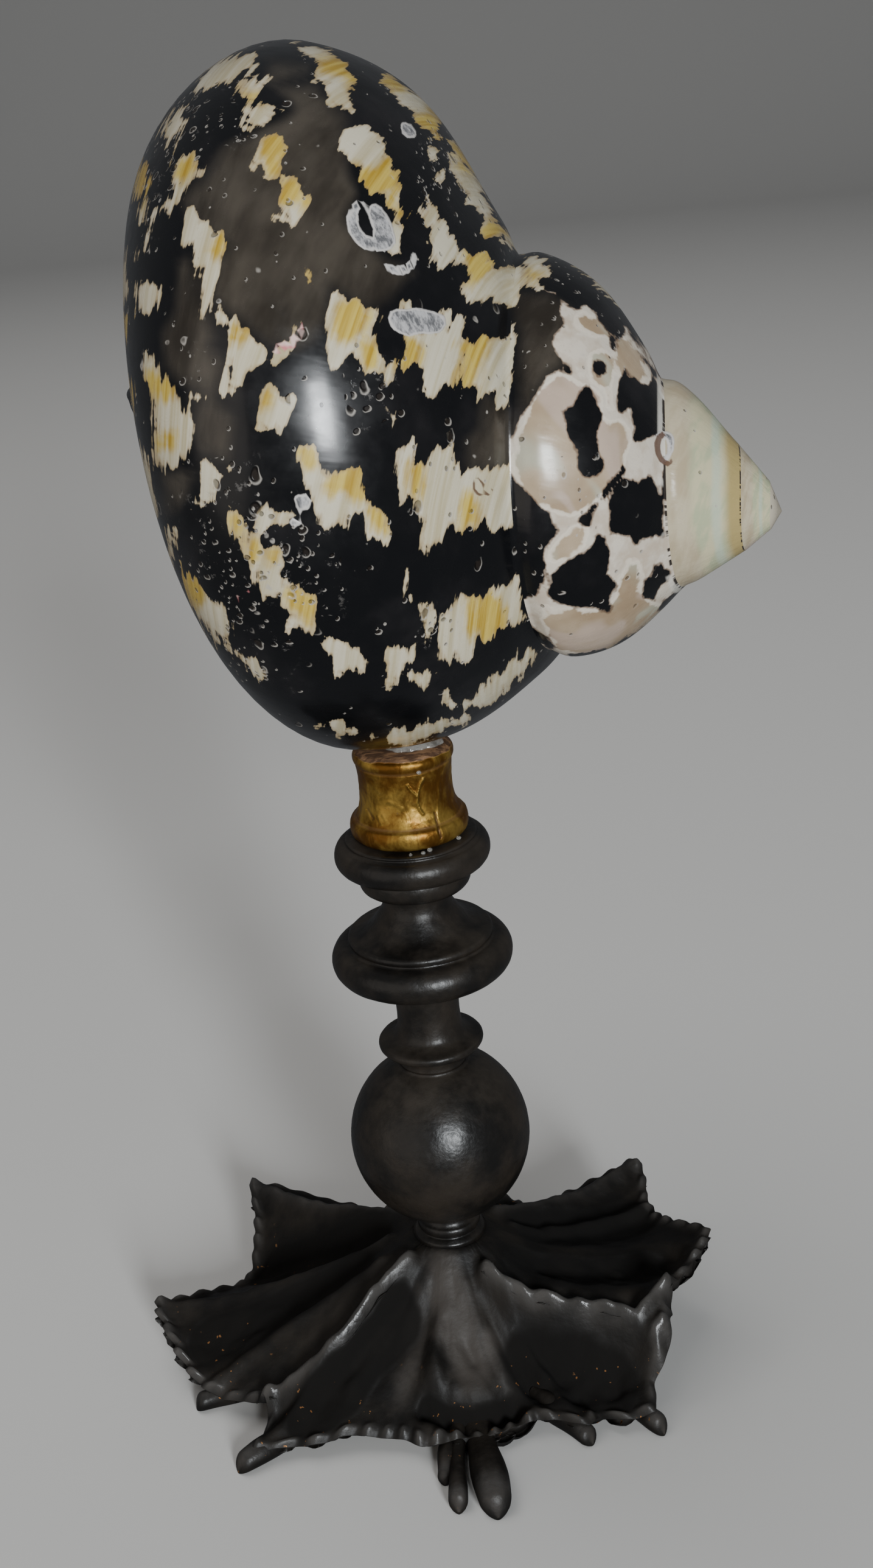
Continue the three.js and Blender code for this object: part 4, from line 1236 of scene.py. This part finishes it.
def add_finger(bm, azimuth_in, radius_in, azimuth_out, radius_out, half_width, high_in, high_out):
    """A blunt rounded finger that lies on the ground and runs out from under the margin."""
    long_cells, round_cells = 26, 20
    made = bmesh.ops.create_grid(bm, x_segments=long_cells, y_segments=round_cells, size=1)["verts"]
    start, end = on_plan(azimuth_in, radius_in), on_plan(azimuth_out, radius_out)
    side = np.array((start[1] - end[1], end[0] - start[0])) / np.linalg.norm(end - start)
    length = np.linalg.norm(end - start)
    for v in made:
        u = 1 - (0.5 - v.co.x / 2) ** 2.2             # rings lie closer together at the tip
        turn = math.pi * v.co.y
        left = (1 - u) * length / half_width
        full = math.sqrt(max(0.0, 1 - max(0, 1 - left) ** 2.6))
        bulge = 1 + 0.12 * math.sin(u * 9 + azimuth_in)
        high = (high_in * (1 - u) + high_out * u) * full * bulge
        middle = start * (1 - u) + end * u + side * half_width * full * bulge * math.cos(turn)
        v.co = (middle[0], middle[1], max(0, high * (0.5 + 0.55 * math.sin(turn))))
        # the tops of the fingers are painted lighter towards the tip: rubbed paint and painted sheen
        v[bm.verts.layers.float["greyed_and_sheen"]] = 0.7 * max(0, math.sin(turn)) * u
        v[bm.verts.layers.float["worn_and_sheen"]] = max(0, math.sin(turn)) * max(0, 1.2 - abs(left - 1.2))


def face_up(mesh_data):
    """Turns the faces of an open sheet so that its top side is the outside."""
    bmesh.ops.recalc_face_normals(mesh_data, faces=mesh_data.faces)
    if sum(face.normal.z * face.calc_area() for face in mesh_data.faces) < 0:
        bmesh.ops.reverse_faces(mesh_data, faces=mesh_data.faces)


def foot_mesh():
    """Leaves round the stem: a round sheet shaped by folds, beads and curls, and fingers under it."""
    bm = bmesh.new()
    worn_and_sheen, grime, greyed_and_sheen = (bm.verts.layers.float.new(name) for name in ("worn_and_sheen", "grime", "greyed_and_sheen"))
    bmesh.ops.create_grid(bm, x_segments=SECTORS, y_segments=ROWS, size=1)
    margin, edge, middle = around(MARGIN, 1, 0.7), around(HEIGHTS, 1, 3.5), around(HEIGHTS, 2, 5)
    along = np.cumsum(margin * TURN / SECTORS)
    beads, tongues, notch = np.zeros(SECTORS), np.zeros(SECTORS), np.zeros(SECTORS)
    for k in range(SECTORS):
        wander = 2.4 * noise.noise(Vector((along[k] / 7, 0, 0)))
        full = 0.65 + 0.6 * noise.noise(Vector((along[k] / 9, 5, 0)))
        beads[k] = (0.5 + 0.5 * math.sin(TURN * along[k] / BEAD_PITCH + wander)) * full
        past = (k * 360 / SECTORS - 180 - TONGUES_START) % 360
        strong = max(0, 1 - (past / (TONGUES_SPAN / 2) - 1) ** 4) if past < TONGUES_SPAN else 0.0
        tongues[k] = strong * abs(math.sin(math.pi * along[k] / TONGUE_PITCH))
        notch[k] = 0.4 * (beads[k] - 0.4) - 1.1 * (strong - tongues[k])
    count = len(bm.verts)
    plan, height, share = np.zeros((count, 2)), np.zeros(count), np.zeros(count)
    sector = np.zeros(count, int)
    for n, v in enumerate(bm.verts):
        k = round((v.co.x + 1) / 2 * SECTORS) % SECTORS
        s = 1 - (1 - (v.co.y + 1) / 2) ** 1.5       # rows lie closer together near the margin
        r = margin[k] * s
        q = max(0, (r - FOOT_NECK) / (margin[k] - FOOT_NECK))
        height[n] = (FOOT_TOP * (1 - q) + edge[k] * q
                     + 4 * (middle[k] - (FOOT_TOP + edge[k]) / 2) * q * (1 - q))
        plan[n] = on_plan(k * 360 / SECTORS - 180, r + notch[k] * s ** 14)
        share[n], sector[n] = q, k
    rubbed, painted_shade, grey_and_sheen = np.zeros(count), np.zeros(count), np.zeros(count)
    lumps = np.array([noise.noise(Vector((x * 0.55, y * 0.55, 8))) for x, y in plan])

    def near_path(path, width):
        return ridge(plan, [on_plan(*place) for place in path], width)

    for lift, width, *path in FOLDS:
        near = near_path(path, width)
        height += lift * near * (1 + 0.25 * lumps)
        # high crests count as rubbed: lighter there, as rubbed paint and painted sheen
        rubbed += max(lift - 0.8, 0) / 2 * near ** 3
    # painted shade along these paths
    for width, *path in PAINTED_SHADE_PATHS:
        painted_shade = np.maximum(painted_shade, near_path(path, width))
    # lighter grey along these paths: rubbed paint and painted sheen
    for much, width, *path in GREYED_AND_SHEEN:
        grey_and_sheen = np.maximum(grey_and_sheen, much * near_path(path, width))
    for n, v in enumerate(bm.verts):
        k, q = sector[n], share[n]
        inward = margin[k] * (1 - q) * (1 - FOOT_NECK / margin[k])
        rim = (0.25 + 1.0 * beads[k]) * math.exp(-((inward - RIM_WIDTH) / RIM_WIDTH) ** 2)
        curl = 1.3 * tongues[k] * math.exp(-(inward / CURL_WIDTH) ** 2)
        x, y = plan[n]
        uneven = (0.55 * noise.noise(Vector((x * 0.13, y * 0.13, 0)))
                  + 0.22 * noise.noise(Vector((x * 0.4, y * 0.4, 3))))
        v.co = (x + FOOT_SHIFT * q, y, height[n] + rim + curl + uneven * min(1, 3 * q))
        # beads and curls also get the lighter rubbed paint and painted sheen
        v[worn_and_sheen] = min(1, rubbed[n] + rim * 0.8 + curl * 0.5)
        # painted shade, kept off the beads and crests
        v[grime] = painted_shade[n] * (1 - min(1, rim + 1.4 * rubbed[n]))
        v[greyed_and_sheen] = grey_and_sheen[n]
    bmesh.ops.remove_doubles(bm, verts=bm.verts, dist=1e-3)
    face_up(bm)
    bmesh.ops.solidify(bm, geom=bm.faces[:], thickness=FOOT_THICK)
    for finger in FINGERS:
        add_finger(bm, *finger)
    bmesh.ops.remove_doubles(bm, verts=bm.verts, dist=1e-3)
    for v in bm.verts:
        v.co.z = max(v.co.z, 0.0)
    bmesh.ops.recalc_face_normals(bm, faces=bm.faces)
    bmesh.ops.translate(bm, verts=bm.verts, vec=(STEM_X, STEM_Y, 0))
    return bm


settle(foot_mesh(), "foot_casting", black_finish("foot_black", True), ["foot"])


# ---- glue ----
GLUE_PROFILE = [(0, 88.8), (3.3, 88.8), (3.7, 89.2), (3.3, 90.0), (3.1, 90.8), (3.2, 91.8), (3.6, 92.9),
                (3.6, 93.6), (0, 93.8)]
GLUE_SHIFT = 1.1                  # the mound sits a little to the right of the stem's axis
# drops of it: azimuth, distance from the stem's axis, height and radius
DROPS = [(-71.7, 6.9, 77.5, 0.34), (-79, 7.2, 77.4, 0.28), (-33.5, 6.9, 77.5, 0.3), (-91, 7.3, 77.4, 0.22),
         (-73.3, 6.15, 87.2, 0.3)]


def glue_finish():
    """Clear glue, cloudy in places."""
    f = Finish("glue_clear")
    place = f.place()
    bump = f.bump(f.noise(place, 500, 3, 0.5), 0.0006, 0.8)
    cloudy = f.mix(rgb(0.40, 0.38, 0.34), rgb(0.78, 0.77, 0.73), f.band(f.noise(place, 700, 2), 0.4, 0.6))
    return f.done(Base_Color=cloudy, Roughness=0.05, Normal=bump, Transmission_Weight=0.75, IOR=1.48)


def glue_mesh():
    """A lumpy mound squeezed out between collar and shell, and a few drops that ran down."""
    bm = turned_mesh(eased(GLUE_PROFILE, 5), 72, 0.0)
    for v in bm.verts:
        out = Vector((v.co.x - STEM_X, v.co.y - STEM_Y, 0))
        if out.length > 1:
            v.co += out.normalized() * (0.9 * noise.noise(v.co * 0.33) + 0.45 * noise.noise(v.co * 0.9))
    bmesh.ops.translate(bm, verts=bm.verts, vec=(GLUE_SHIFT, 0, 0))
    for azimuth, distance, height, radius in DROPS:
        x, y = on_plan(azimuth, distance)
        spot = Matrix.Translation((STEM_X + x, STEM_Y + y, height)) @ Matrix.Diagonal((1, 1, 0.8, 1))
        bmesh.ops.create_icosphere(bm, subdivisions=3, radius=radius, matrix=spot)
    return bm


settle(glue_mesh(), "glue_mound", glue_finish(), ["glue"])

# ---- floor, light and camera ----
# one sweep: the floor, a wide curve and the wall behind
FLOOR_HALF, BEND_START, BEND_RADIUS, BEND_STEPS, WALL_TOP = 9, 1.6, 1.2, 60, 3.5
floor_mesh = bmesh.new()
sweep = [(-FLOOR_HALF, 0.0), (BEND_START, 0.0)]
for k in range(1, BEND_STEPS + 1):
    bend = math.pi / 2 * k / BEND_STEPS
    sweep.append((BEND_START + BEND_RADIUS * math.sin(bend), BEND_RADIUS - BEND_RADIUS * math.cos(bend)))
sweep.append((BEND_START + BEND_RADIUS, WALL_TOP))
line = [floor_mesh.verts.new((-FLOOR_HALF, y, z)) for y, z in sweep]
edges = [floor_mesh.edges.new(pair) for pair in zip(line, line[1:])]
swept = bmesh.ops.extrude_edge_only(floor_mesh, edges=edges)["geom"]
far_side = [v for v in swept if isinstance(v, bmesh.types.BMVert)]
bmesh.ops.translate(floor_mesh, verts=far_side, vec=(2 * FLOOR_HALF, 0, 0))
face_up(floor_mesh)
floor_data = bpy.data.meshes.new("floor")
floor_mesh.to_mesh(floor_data)
floor_mesh.free()
floor = bpy.data.objects.new("floor", floor_data)
bpy.context.scene.collection.objects.link(floor)
floor_data.materials.append(Finish("floor_pale").done(Base_Color=rgb(0.62, 0.61, 0.59), Roughness=0.8))
floor_data.shade_smooth()
floor.visible_glossy = False      # the polished black keeps its depth over a pale floor

world = bpy.data.worlds.new("studio")
world.use_nodes = True
backdrop = world.node_tree.nodes["Background"].inputs
backdrop["Color"].default_value, backdrop["Strength"].default_value = rgb(0.55, 0.57, 0.60), 0.16
bpy.context.scene.world = world


AIM = Vector((0, 0, 0.10))
WINDOW, WINDOW_SIZE, DAYLIGHT = Vector((0.36, -1.25, 0.46)), (0.22, 0.42), (0.93, 0.97, 1.0)
ROOM, LAMPLIGHT = Vector((-1.0, -0.9, 0.35)), (1.0, 0.90, 0.80)
SKY, SKY_SIZE, WHITE = Vector((-0.4, 0.2, 1.3)), (1.2, 1.2), (1, 1, 1)


def softbox(name, place, size, power, colour, mirrored, shape="RECTANGLE"):
    light = bpy.data.lights.new(name, "AREA")
    light.shape, (light.size, light.size_y) = shape, size
    light.energy, light.color = power, colour
    lamp = bpy.data.objects.new(name, light)
    lamp.location = place
    lamp.visible_glossy = mirrored
    lamp.rotation_euler = (AIM - place).to_track_quat("-Z", "Y").to_euler()
    bpy.context.scene.collection.objects.link(lamp)


softbox("window", WINDOW, WINDOW_SIZE, 12, DAYLIGHT, True)
softbox("window_fill", WINDOW, WINDOW_SIZE, 8, DAYLIGHT, False)
# the room fades out towards its edge: three discs in each other
for size, power in ((1.5, 2.6), (1.1, 1.5), (0.7, 0.8)):
    softbox("room", ROOM, (size, size), power, LAMPLIGHT, True, "ELLIPSE")
softbox("sky", SKY, SKY_SIZE, 8, WHITE, False)

camera_data = bpy.data.cameras.new("camera")
SENSOR = 36
camera_data.sensor_width, camera_data.sensor_fit = SENSOR, "AUTO"
camera_data.lens = SENSOR * FOCAL / PICTURE[1]
camera_data.clip_start = 0.01
camera = bpy.data.objects.new("camera", camera_data)
camera.matrix_world = (Matrix.Translation(EYE * MM)
                       @ Matrix.Rotation(math.radians(90) - PITCH, 4, "X") @ Matrix.Rotation(-ROLL, 4, "Z"))
bpy.context.scene.collection.objects.link(camera)
bpy.context.scene.camera = camera
